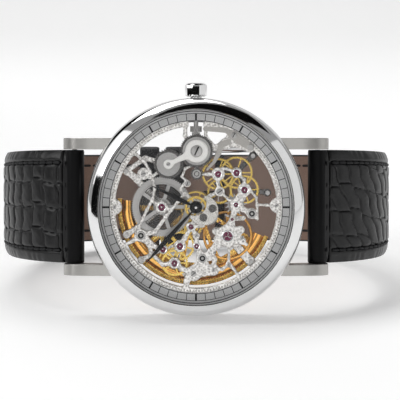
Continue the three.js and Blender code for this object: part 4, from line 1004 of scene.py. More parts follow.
# ------------------------------------------------------------------ motion works, cover and hands
cannon_r, minute_r, p_minute = gear_pair("centre", "minute", "cannon", "minute")
hour_r, minute_pinion_r = meshing(AT["centre"], AT["minute"], TEETH["hour"], TEETH["minute_pinion"])
p_hour = phase_for(AT["minute"], AT["centre"], TEETH["minute_pinion"], TEETH["hour"])
cannon = wheel(Solid(), AT["centre"], cannon_r, TEETH["cannon"], (0.04, 0.3), bore=0.29)
cannon.turned([(0.29, 0.3), (0.38, 0.3), (0.38, 1.42), (0.29, 1.42)], AT["centre"], 28)
make("cannon_pinion_steel", cannon, "satin", "minute_hand", ["cannon_pinion"])
minute = wheel(
    Solid(), AT["minute"], minute_r, TEETH["minute"], (0.06, 0.26), 5, 0.24, 0.55, 0.3, phase=p_minute
)
wheel(minute, AT["minute"], minute_pinion_r, TEETH["minute_pinion"], (0.26, 0.56))
minute.disc(AT["minute"], 0.13, -0.75, 0.3, 14)
make("minute_wheel_steel", minute, "satin", "minute_wheel", ["minute_wheel"])
hour = wheel(
    Solid(), AT["centre"], hour_r, TEETH["hour"], (0.34, 0.52), 5, 0.28, 0.72, 0.25, bore=0.42, phase=p_hour
)
hour.turned([(0.42, 0.52), (0.62, 0.52), (0.62, 0.95), (0.42, 0.95)], AT["centre"], 32)
make("hour_wheel_gilt", hour, "brass", "hour_hand", ["hour_wheel"])


def crescent(x, y):
    outer = spot(x, y, (1.15, -0.5), 2.34)
    cut_out = np.minimum(spot(x, y, (-0.25, 0.6), 1.85), spot(x, y, (0, 0), 1.05))
    eyes = np.minimum(spot(x, y, (2.57, -0.21), 0.62), spot(x, y, (1.14, -1.6), 0.6))
    return np.maximum(np.maximum(outer, -cut_out), -eyes)


cover = openwork(crescent, (-1.6, -3.1), (3.8, 2.2), 0.62, 0.8, 0.05, 0.06)
make("minute_wheel_cover", cover, "bright", "case", crease=40)
cover_foot = Solid().disc((2.57, -0.21), 0.66, 0.6, 0.66, 32).disc((1.14, -1.6), 0.64, 0.6, 0.66, 32)
make("minute_wheel_cover_floor", cover_foot, "grey_steel", "case")
cover_posts = Solid()
for at in ((2.8, 0.7), (0.3, -2.35)):  # clear of the minute wheel
    cover_posts.disc(at, 0.15, 0.0, 0.62, 14)
make("minute_wheel_cover_posts", cover_posts, "satin", "case")


def hand(length, widest, width, hub, angle, z0, z1, hole):
    """A lance-shaped hand with a ridge along its middle and a round hub, angle in degrees from +X."""
    c, s = math.cos(math.radians(angle)), math.sin(math.radians(angle))
    stations = [
        (0.5, 0.1), (0.9, 0.12), (widest * length * 0.55, width * 0.36), (widest * length, width / 2),
        (widest * length * 1.25, width * 0.36), (length * 0.93, 0.07), (length, 0.012)
    ]
    verts = []
    for d, half in stations:
        for side, z in ((-1, z0), (-1, z0 + (z1 - z0) * 0.45), (0, z1), (1, z0 + (z1 - z0) * 0.45), (1, z0)):
            off = half * side
            verts.append((d * c - off * s, d * s + off * c, z))
    last = len(verts) - 1
    ends = [tuple(range(5)), tuple(range(last, last - 5, -1))]
    solid = Solid().add(verts, row_faces(len(stations), 5) + ends)
    hub_profile = [(hole, z0), (hub, z0), (hub, z1 - 0.04), (hub - 0.07, z1), (hole, z1)]
    return solid.turned(hub_profile, (0, 0), 48)


HOUR_ANGLE = 180 - 26
MINUTE_ANGLE = 180 - 312
make(
    "hour_hand_black", hand(7.85, 0.42, 0.8, 0.98, HOUR_ANGLE, 0.98, 1.14, 0.46), "hand", "hour_hand",
    ["hour_hand"]
)
make(
    "minute_hand_black", hand(12.2, 0.58, 0.78, 0.82, MINUTE_ANGLE, 1.43, 1.6, 0), "hand", "minute_hand",
    ["minute_hand"]
)
pin = Solid().turned([(0, 1.58), (0.2, 1.58), (0.2, 1.62), (0.12, 1.66), (0, 1.67)], (0, 0), 24)
make("minute_hand_pivot", pin, "polish", "minute_hand")

# ------------------------------------------------------------------ winding and setting works
ratchet_r, winder_pinion_r, p_driver = gear_pair("barrel", "winder", "ratchet", "winder_pinion")
ratchet = wheel(Solid(), AT["barrel"], ratchet_r, TEETH["ratchet"], RATCHET, 5, 0.5, 1.1, 0.5, bore=0.56)
make("ratchet_wheel_steel", ratchet, "grey_steel", "ratchet", ["ratchet_wheel"])
arbor_solid = Solid().disc(AT["barrel"], 0.42, -2.52, -0.83, 28).disc(AT["barrel"], 0.52, -2.72, -2.52, 28)
arbor_solid.disc(AT["barrel"], 0.8, -2.82, -2.72, 32)
make("barrel_arbor_steel", arbor_solid, "satin", "ratchet", ["barrel_arbor"])
crown_wheel_r, winding_r, p_winding = gear_pair("crown_wheel", "winding", "crown_wheel", "winding")
setting_r = math.dist(AT["crown_wheel"], AT["setting"]) - crown_wheel_r
p_setting = phase_for(AT["crown_wheel"], AT["setting"], TEETH["crown_wheel"], TEETH["setting"])
crown_w = wheel(Solid(), AT["crown_wheel"], crown_wheel_r, TEETH["crown_wheel"], KEYLESS, bore=2.2)
crown_w.disc(AT["crown_wheel"], 2.22, 0.05, 0.22, 64, 1)
crown_w.disc(AT["crown_wheel"], 0.13, -0.7, 0.1, 14)
make("crown_wheel_steel", crown_w, ["grey_steel", "satin"], "crown_wheel", ["crown_wheel"])
winding = wheel(Solid(), AT["winding"], winding_r, TEETH["winding"], KEYLESS, bore=1.85, phase=p_winding)
winding.disc(AT["winding"], 1.87, 0.05, 0.22, 56, 1)
winding.disc(AT["winding"], 0.34, -2.6, 0.1, 20)
wheel(winding, AT["winding"], 2.35, 34, RATCHET, 4, 0.5, 0.8, 0.5)
make("winding_wheel_steel", winding, ["grey_steel", "satin"], "winding_wheel", ["winding_wheel"])
setting_w = wheel(Solid(), AT["setting"], setting_r, TEETH["setting"], KEYLESS, phase=p_setting)
setting_w.turned([(0.42, 0.27), (0.66, 0.27), (0.66, 0.36), (0.42, 0.36)], AT["setting"], 36, 1)
setting_w.disc(AT["setting"], 0.3, 0.1, 0.4, 28, 1)
setting_w.disc(AT["setting"], 0.13, -0.7, 0.1, 14)
make("setting_wheel_steel", setting_w, ["grey_steel", "satin"], "setting_wheel", ["setting_wheel"])


def keyhole(x, y):
    body = soft_min(spot(x, y, AT["crown_wheel"], 1.8), spot(x, y, AT["winding"], 0.76), 0.1)
    body = soft_min(body, seg(x, y, AT["winding"], (-1.5, 8.0), 0.3, 0.52), 0.5)
    return np.maximum(body, -spot(x, y, AT["crown_wheel"], 0.92))


make(
    "keyhole_cover", openwork(keyhole, (-5.3, 5.7), (2.2, 10.8), 0.33, 0.52, 0.06, 0.07), "pale_steel",
    "case", ["crown_wheel_cover"], crease=40
)
cover_screws, cover_slot_shade = Solid(), Solid()
screw(cover_screws, cover_slot_shade, AT["crown_wheel"], 0.9, 0.34, 65)
cover_screws.disc(AT["crown_wheel"], 0.26, 0.24, 0.36, 20)
screw(cover_screws, cover_slot_shade, AT["winding"], 0.34, 0.5, 20)
screw(cover_screws, cover_slot_shade, (5.9, 11.2), 0.5, 0.36, 60)
cover_screws.turned([(0, 0.3), (0.5, 0.3), (0.5, 0.46), (0.42, 0.52), (0, 0.52)], (8.5, 9.35), 28)
make("cover_screws", cover_screws, "satin", "case")
# the cover screws' slots are near-black bars of painted shade
make("cover_screw_slot_painted_shade", cover_slot_shade, "shade", "case")


def along_stem(solid, outline, y0, y1):
    """An outline about the stem's axis, drawn between two distances from the centre."""
    return solid.sweep([[(x, y, STEM_Z + z) for x, z in outline] for y in (y0, y1)])


def star(r, teeth, depth):
    points = []
    for i in range(teeth):
        for radius, share in ((r, -0.2), (r, 0.2), (r - depth, 0.34), (r - depth, 0.66)):
            a = TAU * (i + share) / teeth
            points.append((radius * math.cos(a), radius * math.sin(a)))
    return points


make(
    "winding_pinion_steel", along_stem(Solid(), star(0.92, 14, 0.18), 11.72, 12.62), "satin",
    "winding_pinion", ["winding_pinion"], bevel=0.03
)
clutch = along_stem(Solid(), star(0.66, 12, 0.12), 10.3, 10.75)
along_stem(clutch, circle((0, 0), 0.5, 20), 10.75, 11.15)
along_stem(clutch, star(0.66, 12, 0.12), 11.15, 11.65)
make("clutch_wheel_steel", clutch, "satin", "clutch_wheel", ["clutch_wheel"])
lever = Solid().strip([AT["lever"], (4.6, 12.0), (1.45, 12.2)], [1.1, 0.85, 0.72], 0.04, 0.1, sides=10)
make("setting_lever_steel", lever, "brushed", "setting_lever", ["setting_lever"])
yoke = Solid().strip(
    [(5.05, 10.15), AT["yoke"], (3.55, 8.4), (2.75, 6.95), (1.75, 5.85)], [0.9, 1.05, 0.8, 0.5, 0.3], 0.04,
    0.16, sides=8
)
make("yoke_steel", yoke, "brushed", "yoke", ["yoke"], bevel=0.02)
jumper = Solid().strip([(5.7, 11.25), (6.9, 10.45), (8.5, 9.35)], [1.4, 1.4, 1.15], 0.23, 0.38, sides=10)
make("setting_cover_steel", jumper, "brushed", "case", ["setting_cover"], bevel=0.03)

# ------------------------------------------------------------------ automatic winding
rotor_pinion_r, reverser_r, p_reverser = gear_pair("centre", "reverser", "rotor", "reverser")
reverser_pinion_r, reducer_r, p_reducer = gear_pair("reverser", "reducer", "reverser_pinion", "reducer")
reducer_pinion_r, transfer_r, p_transfer = gear_pair("reducer", "transfer", "reducer_pinion", "transfer")
transfer_pinion_r, winder_r, p_winder = gear_pair("transfer", "winder", "transfer_pinion", "winder")
for name, key, low, level, radii, pinion_level, phase, spokes in (
    (
        "reverser_wheel", "reverser", AUTO[0], AUTO, (reverser_r, reverser_pinion_r), LEVEL["m"],
        p_reverser, 0
    ),
    (
        "reduction_wheel", "reducer", ARBOR[0], LEVEL["m"], (reducer_r, reducer_pinion_r), (-1.06, -0.86),
        p_reducer, 0
    ),
    (
        "transfer_wheel", "transfer", ARBOR[0], LEVEL["a"], (transfer_r, transfer_pinion_r), (-2.0, -1.76),
        p_transfer, 0
    ),
    ("ratchet_driver", "winder", RATCHET[0], LEVEL["d"], (winder_r, winder_pinion_r), RATCHET, p_winder, 4)
):
    body = Solid()
    pinion_phase = p_driver if key == "winder" else 0
    wheel(body, AT[key], radii[0], TEETH[key], level, 5, 0.25, 0.45, 0.22, phase=phase)
    wheel(
        body, AT[key], radii[1], TEETH[key + "_pinion"], pinion_level, spokes, 0.25, 0.45, 0.22,
        phase=pinion_phase
    )
    arbor(body, AT[key], 0.18, low)
    make(name + "_gilt", body, "brass", name, [name])


def arc(solid, inner, outer, start, end, z0, z1):
    """A flat band between two radii and two angles."""
    steps = 96
    outline = [polar(outer, start + (end - start) * i / steps) for i in range(steps + 1)]
    outline += [polar(inner, end + (start - end) * i / steps) for i in range(steps + 1)]
    return solid.prism(outline, z0, z1)


def swept(solid, profile, start, end, mat=0):
    """A (radius, height) profile carried round the centre between two angles, with flat ends."""
    steps = 160
    angles = [start + (end - start) * i / steps for i in range(steps + 1)]
    return solid.sweep([[(*polar(r, a), z) for r, z in profile] for a in angles], mat)


FROM, TO = 174, 337
rim = Solid()
swept(
    rim,
    [
        (11.62, -3.85), (12.43, -3.85), (12.43, -3.1), (12.37, -3.04), (12.3, -3.1), (11.76, -3.1),
        (11.7, -3.04), (11.62, -3.1)
    ],
    FROM, TO
)
crest_angles = np.linspace(0.1, math.pi - 0.1, 13)
crest = [(10.74 + 0.78 * math.cos(a), -3.22 + 0.2 * math.sin(a)) for a in crest_angles]
swept(rim, [(9.87, -3.85), (11.6, -3.85), (11.6, -3.24)] + crest + [(9.87, -3.24)], FROM + 1, TO - 1, 1)
BEADS = 78
for i in range(BEADS):  # a beaded border round the engraved band
    x, y = polar(12.03, FROM + 1.2 + (TO - FROM - 2.4) * i / (BEADS - 1))
    rim.turned([(0, -3.12), (0.2, -3.12), (0.17, -3.03), (0.1, -2.975), (0, -2.96)], (x, y), 10, 2)
make("rotor_rim", rim, ["gold", "copper", "brass"], "rotor", ["rotor_weight"])
rotor_hub = Solid().turned(
    [(0.85, -3.4), (1.6, -3.4), (1.6, -3.06), (1.52, -3.02), (0.85, -3.02)], (0, 0), 64
)
arc(rotor_hub, 8.9, 9.84, FROM + 6, TO - 7, -3.5, -3.2)
for a in (182, 218, 255, 292, 328):
    rotor_hub.strip([polar(1.2, a), polar(5.5, a), polar(9.2, a)], [1.1, 0.55, 1.0], -3.4, -3.2)
wheel(rotor_hub, (0, 0), rotor_pinion_r, TEETH["rotor"], (-3.05, AUTO[1]), bore=0.85)
make("rotor_arms_gilt", rotor_hub, "gold", "rotor", ["rotor_arms"], bevel=0.03)
bearing = Solid().turned([(0, -3.5), (0.8, -3.5), (0.8, -2.51), (0, -2.51)], (0, 0), 40)
bearing.turned([(0, -3.62), (1.22, -3.62), (1.3, -3.56), (1.3, -3.46), (0, -3.46)], (0, 0), 48)
make("rotor_bearing_steel", bearing, "polish", "case", ["rotor_bearing"])
click = Solid().strip([AT["click"], (-8.95, 3.35), (-8.52, 3.02)], [0.8, 0.5, 0.24], *RATCHET, sides=8)
click.strip([AT["click"], (-9.7, 5.2)], [0.5, 0.3], *RATCHET, sides=8)
make("click_steel", click, "satin", "click", ["click"], bevel=0.02)


# ------------------------------------------------------------------ crown and spring bars
STEM = (0, STEM_Z)
crown = Solid().along_y([(17.2, 0), (17.2, 1.4), (17.26, 1.5), (17.4, 1.5), (17.4, 0)], STEM, 96)
crown.along_y(
    [(17.36, 0), (17.36, 1.56), (17.46, 1.68), (18.95, 1.72), (19.0, 1.7), (19.18, 1.5), (19.18, 0)], STEM,
    10
)
crown.along_y(
    [(18.6, 0), (18.6, 1.6), (19.02, 1.6), (19.2, 1.5), (19.31, 1.3), (19.35, 1.1), (19.36, 0)], STEM, 96
)
make("crown_polished", crown, "polish", "crown", ["crown"], crease=28)
stem = Solid().along_y(
    [(9.5, 0), (9.5, 0.3), (9.56, 0.36), (16.0, 0.36), (16.0, 0.52), (17.25, 0.52), (17.25, 0)], STEM, 32
)
make("winding_stem_steel", stem, "satin", "crown", ["winding_stem"])
tube = Solid().along_y([(15.85, 0.6), (15.85, 0.95), (17.1, 0.95), (17.18, 0.88), (17.18, 0.6)], STEM, 48)
make("crown_tube_steel", tube, "polish", "case", ["crown_tube"])
for name, end, reach, body in (("spring_bar_12", -1, 1.1, "case"), ("spring_bar_6", 1, -0.05, "strap")):
    y1, y2 = LUG_GAP / 2 - 0.3, LUG_GAP / 2 + reach
    bar = Solid().along_y(
        [
            (-y2, 0), (-y2, 0.38), (-y1, 0.38), (-y1, 0.7), (-y1 + 0.06, 0.74), (y1 - 0.06, 0.74),
            (y1, 0.7), (y1, 0.38), (y2, 0.38), (y2, 0)
        ],
        (end * BAR_X, BAR_Z), 32
    )
    make(name + "_steel", bar, "satin", body, [name])

# ------------------------------------------------------------------ strap
LOOP_HALF = [
    (BAR_X, BAR_Z), (24.2, -6.6), (28.6, -12), (31, -20), (30.6, -30), (27, -39.5), (20.8, -46.9),
    (14.5, -50.2), (8, -50.8), (0, -50.8)
]
STRAP_T = (3.0, 2.1)
STRAP_W = (17.86, 16.0)
LAYER = STRAP_T[1] + 0.35
KEEPER_HALF_W, KEEPER_WALL, KEEPER_LENGTH = 9.45, 1.1, 3.6


def loop_curve():
    """A centripetal curve from the 12 o'clock bar round the wrist to the 6 o'clock bar, as (length, x, z)."""
    p = [np.array((-x, z)) for x, z in LOOP_HALF] + [np.array((x, z)) for x, z in LOOP_HALF[-2::-1]]
    out = []
    for i in range(len(p) - 1):
        before = p[i - 1] if i else 2 * p[0] - p[1]
        after = p[i + 2] if i + 2 < len(p) else 2 * p[-1] - p[-2]
        d0, d1, d2 = (
            math.sqrt(np.linalg.norm(b - a))
            for a, b in ((before, p[i]), (p[i], p[i + 1]), (p[i + 1], after))
        )
        m1 = ((p[i] - before) / d0 - (p[i + 1] - before) / (d0 + d1) + (p[i + 1] - p[i]) / d1) * d1
        m2 = ((p[i + 1] - p[i]) / d1 - (after - p[i]) / (d1 + d2) + (after - p[i + 1]) / d2) * d1
        for t in np.linspace(0, 1, 60, endpoint=False):
            out.append(
                (2 * t ** 3 - 3 * t ** 2 + 1) * p[i] + (t ** 3 - 2 * t ** 2 + t) * m1
                + (3 * t ** 2 - 2 * t ** 3) * p[i + 1] + (t ** 3 - t ** 2) * m2
            )
    out = np.array(out + [p[-1]])
    length = np.concatenate([[0], np.cumsum(np.linalg.norm(np.diff(out, axis=0), axis=1))])
    return length, out[:, 0], out[:, 1]


LOOP = loop_curve()
LOOP_LENGTH = LOOP[0][-1]
BUCKLE_S = LOOP_LENGTH / 2 + 4
TAIL_S = BUCKLE_S - 40
TONGUE_HOLE_S = BUCKLE_S + 1.9
HOLE_PITCH = 6.5


def smooth(v):
    v = np.clip(v, 0, 1)
    return v * v * (3 - 2 * v)


def on_loop(s, y, h):
    """Dial-frame points at length s along the loop, y across it and h outward from it."""
    s, y, h = np.broadcast_arrays(np.asarray(s, float), y, h)
    x0, z0 = np.interp(s, LOOP[0], LOOP[1]), np.interp(s, LOOP[0], LOOP[2])
    d = 0.4
    tx = np.interp(s + d, LOOP[0], LOOP[1]) - np.interp(s - d, LOOP[0], LOOP[1])
    tz = np.interp(s + d, LOOP[0], LOOP[2]) - np.interp(s - d, LOOP[0], LOOP[2])
    size = np.hypot(tx, tz)
    tx, tz = tx / size, tz / size
    over, under = np.maximum(s - LOOP_LENGTH, 0), np.minimum(s, 0)
    return np.stack([x0 + tz * h + tx * (over + under), y, z0 - tx * h + tz * (over + under)], -1)


STITCH_IN = 2.0
STRAP_STEP = 0.16


def strap_thickness(run):
    return STRAP_T[0] + (STRAP_T[1] - STRAP_T[0]) * smooth(run / 60)


def strap_half_width(run):
    return (STRAP_W[0] + (STRAP_W[1] - STRAP_W[0]) * smooth(run / 40)) / 2


def scales(s, y, half, run, slant):
    """Height of the grained leather: a grid of scales with grooves between; slant skews the grid."""
    v = (run + slant * y + 0.25 * np.sin(0.9 * y + 0.3 * s) + 0.1 * np.sin(2.7 * y + 1.7)) / 2.5
    row = np.floor(v)
    from_row = (0.5 - np.abs(v - row - 0.5)) * 2.5
    w = (y + 0.35 * slant * run + 0.3 * np.sin(0.55 * run + 1.0) + 0.35 * np.sin(row * 2.4)) / 3.9
    from_side = (0.5 - np.abs(w - np.floor(w) - 0.5)) * 3.9
    near = np.minimum(from_row, from_side)
    shape = 0.16 * (1 - np.exp(-near / 0.55)) - 0.2 * np.exp(-((near / 0.14) ** 2))
    fine = 0.01 * np.sin(5.1 * s + 2 * y) * np.sin(6.3 * y - s)
    margin = np.abs(y) - (half - STITCH_IN)
    frill = 0.035 * np.sin(run * TAU / 1.7 + 2.5 * np.sin(0.9 * run) + y) * smooth((margin - 0.5) / 0.4)
    within = smooth((0.35 - margin) / 0.3)
    amount = smooth((run - 1.5) / 0.3)
    end_seam = -0.3 * np.exp(-(((run - 1.55) / 0.14) ** 2))
    side_seam = 0.34 * np.exp(-((margin / 0.3) ** 2)) * smooth((run - 1.5) / 0.5)
    seam = end_seam - side_seam
    return (shape * within + 0.1 * (1 - within) + fine + frill) * amount + seam - 0.08


def strap_mesh(solid, start, end, lug, raise_by, tip_at=None, band=None, holes=()):
    """One stretch of strap: grained top, painted edges and a lining, closed at both ends."""
    count = max(3, int(abs(end - start) / STRAP_STEP))
    s = np.linspace(start, end, count)[:, None]
    run = np.abs(s - lug)
    t = strap_thickness(run)
    half = strap_half_width(run)
    if tip_at is not None:
        half = half * np.sqrt(np.minimum(1, 0.12 + np.abs(s - tip_at) / 9))
    columns = 96 if band is None else 28
    u = np.linspace(-1, 1, columns)[None, :]
    if band is None:
        y, left, right = u * half, -half, half
    else:
        left, right = (np.full_like(half, band[0]), half) if band[1] > 0 else (
            -half, np.full_like(half, band[0])
        )
        y = (left + right) / 2 + u * (right - left) / 2
    top = t / 2 * (1 - 0.5 * (np.abs(y) / half) ** 9) + scales(s, y, half, run, 0.0 if lug == 0 else 0.45)
    for hs, hr, hl in holes:
        hole = np.hypot(np.maximum(np.abs(s - hs) - hl, 0), y) - hr
        top = np.where(hole < 0, np.minimum(top, -t / 2 + 0.3), top)
    lift = raise_by(s)
    inset = 0.3
    lower = [
        (right, 0.1 * t), (right, -0.32 * t), (right - inset, -t / 2), (left + inset, -t / 2),
        (left, -0.32 * t), (left, 0.1 * t)
    ]
    points = [on_loop(s, y, top + lift)] + [on_loop(s, yy, hh + lift) for yy, hh in lower]
    grid = np.concatenate(points, axis=1)
    rows, width = grid.shape[:2]
    mats_row = [0] * (columns - 1) + [1, 1, 1, 2, 1, 1, 1]
    faces = row_faces(rows, width) + [tuple(range(width)), tuple(range((rows - 1) * width, rows * width))]
    return solid.add(grid.reshape(-1, 3), faces, mats_row * (rows - 1) + [1, 1])


def ramp_up(s):
    return LAYER * smooth((BUCKLE_S + 10 - s) / 10)


def flat(s):
    return np.zeros_like(s)


def capsule(solid, a, b, r):
    """A short thread between two points, rounded at both ends."""
    sides = 8
    a, b = np.array(a), np.array(b)
    along = b - a
    along /= np.linalg.norm(along)
    other = np.cross(along, (0, 1, 0) if abs(along[1]) < 0.8 else (1, 0, 0))
    other /= np.linalg.norm(other)
    third = np.cross(along, other)
    rings = []
    for centre, shift, share in (
        (a, -r, 0.35), (a, -r * 0.4, 0.85), (a, r * 0.4, 1.0), (b, -r * 0.4, 1.0), (b, r * 0.4, 0.85),
        (b, r, 0.35)
    ):
        middle = centre + along * shift
        spokes = [other * math.cos(TAU * k / sides) + third * math.sin(TAU * k / sides) for k in range(sides)]
        rings.append([middle + spoke * r * share for spoke in spokes])
    solid.sweep(rings)


def stitches(solid, start, end, lug, raise_by, tip_at=None, pitch=1.3, length=0.85, face=1):
    """Two rows of thread, one near each edge; face is 1 for the outside of the strap, -1 for its lining."""
    direction = 1 if end > start else -1
    s = start
    while (end - s) * direction > length:
        for side in (-1, 1):
            ends = []
            for at in (s, s + direction * length):
                run = abs(at - lug)
                half = float(strap_half_width(run))
                if tip_at is not None:
                    half *= math.sqrt(min(1, 0.12 + abs(at - tip_at) / 9))
                y = side * (half - STITCH_IN)
                middle, thick = float(raise_by(at)), float(strap_thickness(run)) / 2
                if face > 0:
                    h = thick * (1 - 0.5 * (abs(y) / half) ** 9) - 0.16 + middle
                else:
                    h = middle - thick + 0.06
                ends.append(on_loop(at, y, h))
            capsule(solid, ends[0], ends[1], 0.24)
        s += direction * pitch


long_holes = [
    (TONGUE_HOLE_S - k * HOLE_PITCH, 0.8, 0.0) for k in (1, 2, 3, 4)
] + [(TONGUE_HOLE_S - 0.3, 0.8, 1.6)]
long_half = strap_mesh(Solid(), LOOP_LENGTH - 0.1, TAIL_S, LOOP_LENGTH, ramp_up, TAIL_S, None, long_holes)
STRAP_END = [
    (-8.93, 0), (-8.93, 1.3), (-8.85, 1.45), (-8.6, 1.5), (8.6, 1.5), (8.85, 1.45), (8.93, 1.3), (8.93, 0)
]
long_half.along_y(STRAP_END, (BAR_X, BAR_Z), 48, 1)
make(
    "strap_long_leather", long_half, ["leather", "smooth_leather", "lining"], "strap", ["strap_long"],
    crease=50
)
short_half = strap_mesh(Solid(), 0.1, BUCKLE_S - 2.7, 0, flat)
for band in ((-0.95, -1), (0.95, 1)):
    strap_mesh(short_half, BUCKLE_S - 2.75, BUCKLE_S - 0.1, 0, flat, None, band)
short_half.along_y(STRAP_END, (-BAR_X, BAR_Z), 48, 1)
bar_x, bar_z = (float(v) for v in on_loop(BUCKLE_S, 0, 0)[[0, 2]])
for side in (-1, 1):
    fold = [(0.95, 0), (0.95, 1.1), (1.05, 1.2), (7.8, 1.2), (7.98, 1.05), (7.98, 0)]
    short_half.along_y([(side * y, r) for y, r in fold], (bar_x, bar_z), 40, 1)
make(
    "strap_short_leather", short_half, ["leather", "smooth_leather", "lining"], "strap", ["strap_short"],
    crease=50
)
thread = Solid()
stitches(thread, 2.2, BUCKLE_S - 3.4, 0, flat)
stitches(thread, LOOP_LENGTH - 2.2, TAIL_S + 4.5, LOOP_LENGTH, ramp_up, TAIL_S)
stitches(thread, 2.2, BUCKLE_S - 3.4, 0, flat, None, 2.2, 1.3, -1)
stitches(thread, LOOP_LENGTH - 2.2, BUCKLE_S + 12, LOOP_LENGTH, ramp_up, TAIL_S, 2.2, 1.3, -1)
for lug_at in (0.9, LOOP_LENGTH - 0.9):  # a cross row of thread by each pair of lugs
    for k in range(5):
        a, b = (on_loop(lug_at, 3.4 * (k - 2) + d, 1.44) for d in (-0.22, 0.22))
        capsule(thread, a, b, 0.13)
make("strap_stitches", thread, "thread", "strap", crease=60)


def keeper(name, s, body, node):
    """A leather ring round both layers of the strap, with softened edges."""
    half_h, centre = (STRAP_T[1] + LAYER) / 2 + 0.25, LAYER / 2
    w, r = KEEPER_HALF_W, 1.3
    ring = []
    for cx, cz, start in (
        (w - r, half_h + KEEPER_WALL - r, 0), (-w + r, half_h + KEEPER_WALL - r, 90),
        (-w + r, -half_h - KEEPER_WALL + r, 180), (w - r, -half_h - KEEPER_WALL + r, 270)
    ):
        ring += [(*polar(1.0, start + 15 * k), cx, cz) for k in range(7)]
    inset = [(0.0, -0.12), (0.25, 0.0), (0.6, 0.05), (1.0, 0.06)]
    profile = [(-KEEPER_LENGTH / 2 + d, lift) for d, lift in inset] + [
        (KEEPER_LENGTH / 2 - d, lift) for d, lift in inset[::-1]
    ]
    body_solid, n = Solid(), len(ring)
    rows = profile + [
        (off, 0.12 - KEEPER_WALL) for off in (KEEPER_LENGTH / 2 - 0.05, 0.05 - KEEPER_LENGTH / 2)
    ]
    verts = []
    for off, lift in rows:
        reach = max(0.1, r + lift)
        for c, sn, cx, cz in ring:
            verts.append(on_loop(s + off, cx + reach * c, centre + cz + reach * sn))
    body_solid.add(verts, row_faces(len(rows), n, True))
    make(name, body_solid, "smooth_leather", body, [node], crease=50)


keeper("keeper_fixed_leather", BUCKLE_S - 8, "strap", "keeper_fixed")
keeper("keeper_free_leather", BUCKLE_S - 12.8, "keeper_free", "keeper_free")

# ------------------------------------------------------------------ pin buckle
REACH, LIFT = 7.2, 3.55
bar = Solid()
bar.along_y([(-8.3, 0), (-8.3, 0.6), (8.3, 0.6), (8.3, 0)], (bar_x, bar_z), 32)
bar.along_y([(-9.0, 0), (-9.0, 0.38), (9.0, 0.38), (9.0, 0)], (bar_x, bar_z), 24)
make("buckle_bar_steel", bar, "satin", "strap", ["buckle_bar"])


def from_bar(forward, y, lift):
    """A point set square to the loop at the buckle's bar."""
    a = on_loop(BUCKLE_S, 0, 0)
    t = on_loop(BUCKLE_S + 0.5, 0, 0) - on_loop(BUCKLE_S - 0.5, 0, 0)
    t /= np.linalg.norm(t)
    out = on_loop(BUCKLE_S, 0, 1) - a
    return a + t * forward + out * lift + np.array((0, y, 0))


tilt = math.atan2(LIFT, REACH)


def frame_point(d, y, h):
    return from_bar(d * math.cos(tilt) - h * math.sin(tilt), y, d * math.sin(tilt) + h * math.cos(tilt))


def rounded(k, power):
    """Point k of 16 round a soft-cornered unit square."""
    c, sn = math.cos(TAU * k / 16), math.sin(TAU * k / 16)
    return math.copysign(abs(c) ** power, c), math.copysign(abs(sn) ** power, sn)


length = math.hypot(REACH, LIFT)
path = [
    (-0.8, -8.925, 0.55), (0.2, -8.925, 0.75), (length * 0.5, -8.925, 0.72), (length - 0.9, -8.925, 0.66),
    (length - 0.2, -8.72, 0.66), (length + 0.12, -8.2, 0.66)
]
path += [(length + 0.12, y, 0.66) for y in (-4, 0, 4)] + [(d, -y, h) for d, y, h in path[::-1]]
stations = []
for i, (d, y, h) in enumerate(path):
    a, b = path[max(0, i - 1)], path[min(len(path) - 1, i + 1)]
    td, ty = b[0] - a[0], b[1] - a[1]
    size = math.hypot(td, ty)
    nd, ny = ty / size, -td / size
    half = 0.56 if abs(y) > 8.3 else 0.66
    ring = []
    for k in range(16):
        c, sn = rounded(k, 0.6)
        ring.append(frame_point(d + nd * half * c, y + ny * half * c, h * sn))
    stations.append(ring)
make("buckle_frame_steel", Solid().sweep(stations), "polish", "strap", ["buckle_frame"], crease=50)

tongue_path = [
    (0.0, 0.85, 0.5), (1.2, 1.9, 0.45), (3.1, 3.9, 0.42), (5.0, 4.75, 0.4), (6.4, 5.1, 0.38),
    (7.6, 5.1, 0.36), (8.7, 4.8, 0.28)
]
tongue = Solid()
stations = []
for i, (d, h, half) in enumerate(tongue_path):
    a, b = tongue_path[max(0, i - 1)], tongue_path[min(len(tongue_path) - 1, i + 1)]
    size = math.hypot(b[0] - a[0], b[1] - a[1])
    nd, nh = -(b[1] - a[1]) / size, (b[0] - a[0]) / size
    ring = []
    for k in range(16):
        sn = math.sin(TAU * k / 16)
        ring.append(from_bar(d + nd * half * sn, 0.55 * rounded(k, 0.7)[0], h + nh * half * sn))
    stations.append(ring)
tongue.sweep(stations)
tongue.along_y([(-0.75, 0.64), (-0.75, 1.1), (0.75, 1.1), (0.75, 0.64)], (bar_x, bar_z), 32)
make("buckle_tongue_steel", tongue, "polish", "buckle_tongue", ["buckle_tongue"], crease=50)

# ------------------------------------------------------------------ studio
sc = bpy.context.scene


def plain(name, color, rough=0.6, emission=0.0):
    mat, shader = new_shader(name, color, rough)
    shader.inputs["Specular IOR Level"].default_value = 0.1
    if emission:
        shader.inputs["Emission Color"].default_value = (*color, 1)
        shader.inputs["Emission Strength"].default_value = emission
    return mat


def stage_mesh(name, verts, faces, mat):
    mesh = bpy.data.meshes.new(name)
    mesh.from_pydata(verts, [], faces)
    mesh.materials.append(mat)
    obj = bpy.data.objects.new(name, mesh)
    sc.collection.objects.link(obj)
    for face in mesh.polygons:
        face.use_smooth = True
    return obj


def card(name, where, to, width, height, mat):
    """A flat card at a point, facing another."""
    where, to = Vector(where), Vector(to)
    look = (to - where).to_track_quat("-Z", "Y")
    corners = [
        where + look @ Vector((x * width / 2, y * height / 2, 0))
        for x, y in ((-1, -1), (1, -1), (1, 1), (-1, 1))
    ]
    flag = stage_mesh(name, [tuple(c) for c in corners], [(0, 1, 2, 3)], mat)
    flag.visible_camera = False  # cards are there only for what the polished steel reflects
    return flag


